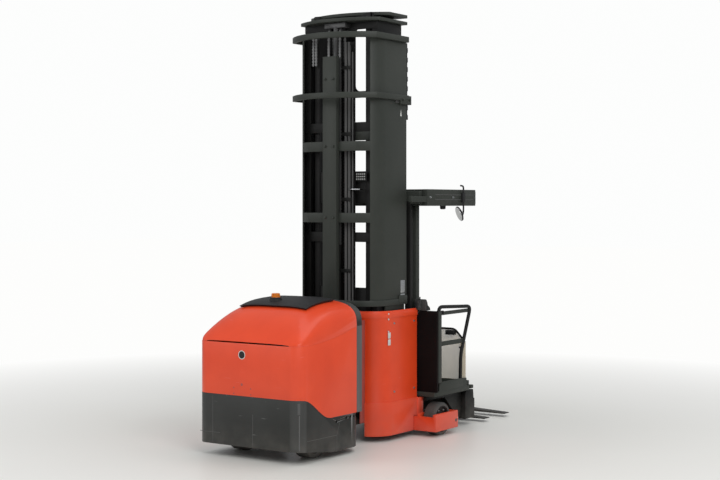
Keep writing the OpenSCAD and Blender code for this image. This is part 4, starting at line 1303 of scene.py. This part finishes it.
    def controls(self) -> None:
        """Screen, levers, steering knob and keys on the console, and two pedals."""
        low, high = self.box("console")
        front = self.shop.rear_x + 2.74
        top = high.z
        tub = [Form.slab((front - 0.006, -0.26, 0.915), (front + 0.01, 0.26, 0.985), 0.006)]
        screen = Form.slab((front + 0.02, -0.10, top - 0.001), (front + 0.12, 0.10, top + 0.012), 0.004)
        levers = []
        for y in (0.15, 0.21, -0.16, -0.22):
            root = Vector((front + 0.06, y, top))
            levers += [Form.rod(root, root + Vector((-0.01, 0, 0.04)), 0.005, 12),
                       Form.rod(root + Vector((-0.01, 0, 0.03)), root + Vector((-0.014, 0, 0.055)), 0.012, 16, 0.009,
                                0.002)]
        knob = Form.lathe([(0.0, 0.0), (0.055, 0.0), (0.058, 0.012), (0.05, 0.02), (0.0, 0.022)],
                          (front + 0.075, 0.275, top), (0, 0, 1), 32)
        self.shop.piece("console_lip", Form.all_of(*tub), "cab", PLASTIC)
        self.shop.piece("console_screen", screen, "cab", BATTERY)
        self.shop.piece("console_levers", Form.all_of(*levers, knob), "cab", PLASTIC)
        keys = [Form.slab((front + 0.03 + 0.025 * (i // 4), -0.06 + 0.03 * (i % 4) - 0.22, top - 0.001),
                          (front + 0.045 + 0.025 * (i // 4), -0.04 + 0.03 * (i % 4) - 0.22, top + 0.004), 0.001)
                for i in range(4)]
        self.shop.piece("console_keys", Form.all_of(*keys), "cab", PALE)
        pedals = [Form.slab(self.at(2.62, y - 0.06, 0.462), self.at(2.73, y + 0.06, 0.474), 0.004)
                  for y in (-0.20, 0.20)]
        self.shop.piece("floor_pedals", Form.all_of(*pedals), "cab", PLASTIC)

    def hose(self) -> None:
        """Rounded hose box and a coiled hose on the back wall, and the wall's grey side post."""
        y = -0.56
        rows = ((2.190, 1.301), (2.290, 1.301), (2.275, 1.335), (2.240, 1.355), (2.225, 1.395), (2.205, 1.42),
                (2.190, 1.422))
        profile = [self.at(f, y - 0.07, z) for f, z in rows]
        self.shop.piece("hose_box", Form.plate(profile, (0, 0.14, 0), 0.006), "cab", SEAL)
        turns, steps = 7, 16
        coil = []
        for i in range(turns * steps + 1):
            a = 2 * math.pi * i / steps
            coil.append(self.at(2.166 + 0.022 * math.cos(a), y + 0.022 * math.sin(a), 1.31 + 0.014 * i / steps))
        path = [self.at(2.166, y + 0.06, 1.22), *coil, self.at(2.19, y, 1.44), self.at(2.205, y + 0.03, 1.39)]
        self.shop.piece("coiled_hose", Form.tube(path, 0.0062, 0.0, 10), "cab", SEAL)
        trim = []
        for sign in (1, -1):
            a, b = sorted((sign * 0.7605, sign * 0.735))
            trim.append(Form.slab(self.at(2.232, a, 0.545), self.at(2.2995, b, 1.298), 0.003))
        self.shop.piece("back_wall_side_posts", Form.all_of(*trim), "cab", MAST)


@dataclass
class ForkEnd(Part):
    """Turret head: slide, swivelling auxiliary mast, fork carriage and forks."""

    def build(self) -> None:
        """Builds and dresses everything of the fork end."""
        shop = self.shop
        shop.softened("traverse_slide", "slide", FRAME, 0.003)
        shop.softened("turret_head", "turret", FRAME, 0.003)
        for node in ("fork_carriage", "fork_left", "fork_right"):
            shop.softened(node, "carriage", FRAME, 0.003)


@dataclass
class Studio:
    """Pale floor and backdrop, soft light and the photograph's camera."""

    camera_at: tuple[float, float, float] = (-12.354, -8.43, 2.42)
    heading_deg: float = 34.4
    lens_mm: float = 70.7
    shift_y: float = -0.05
    floor_size: float = 60.0

    def build(self) -> None:
        """Builds the floor, the backdrop, the lights and the camera."""
        self.floor()
        self.lights()
        self.camera()

    def floor(self) -> None:
        """A wide pale floor that the world meets far behind."""
        mesh = bmesh.new()
        bmesh.ops.create_grid(mesh, x_segments=2, y_segments=2, size=self.floor_size)
        data = bpy.data.meshes.new("studio_floor")
        mesh.to_mesh(data)
        mesh.free()
        ground = bpy.data.objects.new("studio_floor", data)
        bpy.context.scene.collection.objects.link(ground)
        sheet = NodeSheet("studio_floor")
        cloudy = sheet.noise(sheet.coords(), 0.35, 3.0)
        sheet.link(sheet.mix(cloudy, (0.80, 0.785, 0.735), (0.85, 0.84, 0.80)), "Base Color")
        sheet.set("Roughness", 0.4)
        rays = sheet.node("ShaderNodeLightPath")
        seen = sheet.math("ADD", rays.outputs["Is Camera Ray"], rays.outputs["Is Transmission Ray"])
        length = sheet.node("ShaderNodeVectorMath", operation="LENGTH")
        sheet.join(sheet.coords(), length.inputs[0])
        far = sheet.spread(length.outputs["Value"], 0.0, 1.0, 2.4, 8.5)
        white = sheet.node("ShaderNodeEmission")
        white.inputs["Color"].default_value = (0.985, 0.985, 0.975, 1.0)
        blend = sheet.node("ShaderNodeMixShader")
        sheet.join(sheet.math("MULTIPLY", far, seen), blend.inputs[0])
        sheet.join(sheet.shader.outputs[0], blend.inputs[1])
        sheet.join(white.outputs[0], blend.inputs[2])
        sheet.join(blend.outputs[0], sheet.tree.nodes["Material Output"].inputs["Surface"])
        data.materials.append(sheet.material)

    def lights(self) -> None:
        """A pale world, a large key light behind the camera and a weaker one from the left."""
        world = bpy.data.worlds.new("studio")
        world.use_nodes = True
        bpy.context.scene.world = world
        tree = world.node_tree
        glow = tree.nodes["Background"]
        glow.inputs["Color"].default_value = (0.93, 0.95, 0.97, 1.0)
        glow.inputs["Strength"].default_value = 0.5
        seen = tree.nodes.new("ShaderNodeBackground")
        seen.inputs["Color"].default_value = (0.98, 0.985, 0.98, 1.0)
        rays = tree.nodes.new("ShaderNodeLightPath")
        pick = tree.nodes.new("ShaderNodeMath")
        pick.operation = "ADD"
        pick.use_clamp = True
        tree.links.new(rays.outputs["Is Camera Ray"], pick.inputs[0])
        tree.links.new(rays.outputs["Is Transmission Ray"], pick.inputs[1])
        blend = tree.nodes.new("ShaderNodeMixShader")
        tree.links.new(pick.outputs[0], blend.inputs[0])
        tree.links.new(glow.outputs[0], blend.inputs[1])
        tree.links.new(seen.outputs[0], blend.inputs[2])
        tree.links.new(blend.outputs[0], tree.nodes["World Output"].inputs["Surface"])
        for name, at, size, power in (("key", (-7.0, -9.0, 8.0), 6.0, 560.0),
                                      ("side", (-9.0, 6.0, 6.0), 6.0, 230.0),
                                      ("top", (1.0, -1.0, 9.5), 7.0, 260.0)):
            lamp = bpy.data.lights.new(name, "AREA")
            lamp.size = size
            lamp.energy = power
            holder = bpy.data.objects.new(name, lamp)
            holder.location = at
            holder.rotation_euler = (Vector((0.0, 0.0, 1.5)) - Vector(at)).to_track_quat("-Z", "Y").to_euler()
            bpy.context.scene.collection.objects.link(holder)

    def camera(self) -> None:
        """The photograph's camera, level and turned to the truck's right rear corner."""
        data = bpy.data.cameras.new("camera")
        data.lens = self.lens_mm
        data.sensor_width = 36.0
        data.shift_y = self.shift_y
        holder = bpy.data.objects.new("camera", data)
        holder.location = self.camera_at
        turn = math.radians(self.heading_deg)
        ahead = Vector((math.cos(turn), math.sin(turn), 0.0))
        holder.rotation_euler = ahead.to_track_quat("-Z", "Y").to_euler()
        bpy.context.scene.collection.objects.link(holder)
        bpy.context.scene.camera = holder


def main() -> None:
    """Builds the truck on its frame and the studio round it."""
    logging.basicConfig(level=logging.INFO, format="%(name)s: %(message)s")
    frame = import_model()
    bpy.context.scene.view_settings.view_transform = "Standard"
    shop = Shop(frame)
    Studio().build()
    for part in (RearUnit(shop), FrontChassis(shop), Mast(shop), Cab(shop), ForkEnd(shop)):
        LOG.info("%s starts", type(part).__name__)
        part.build()


if __name__ == "__main__":
    main()
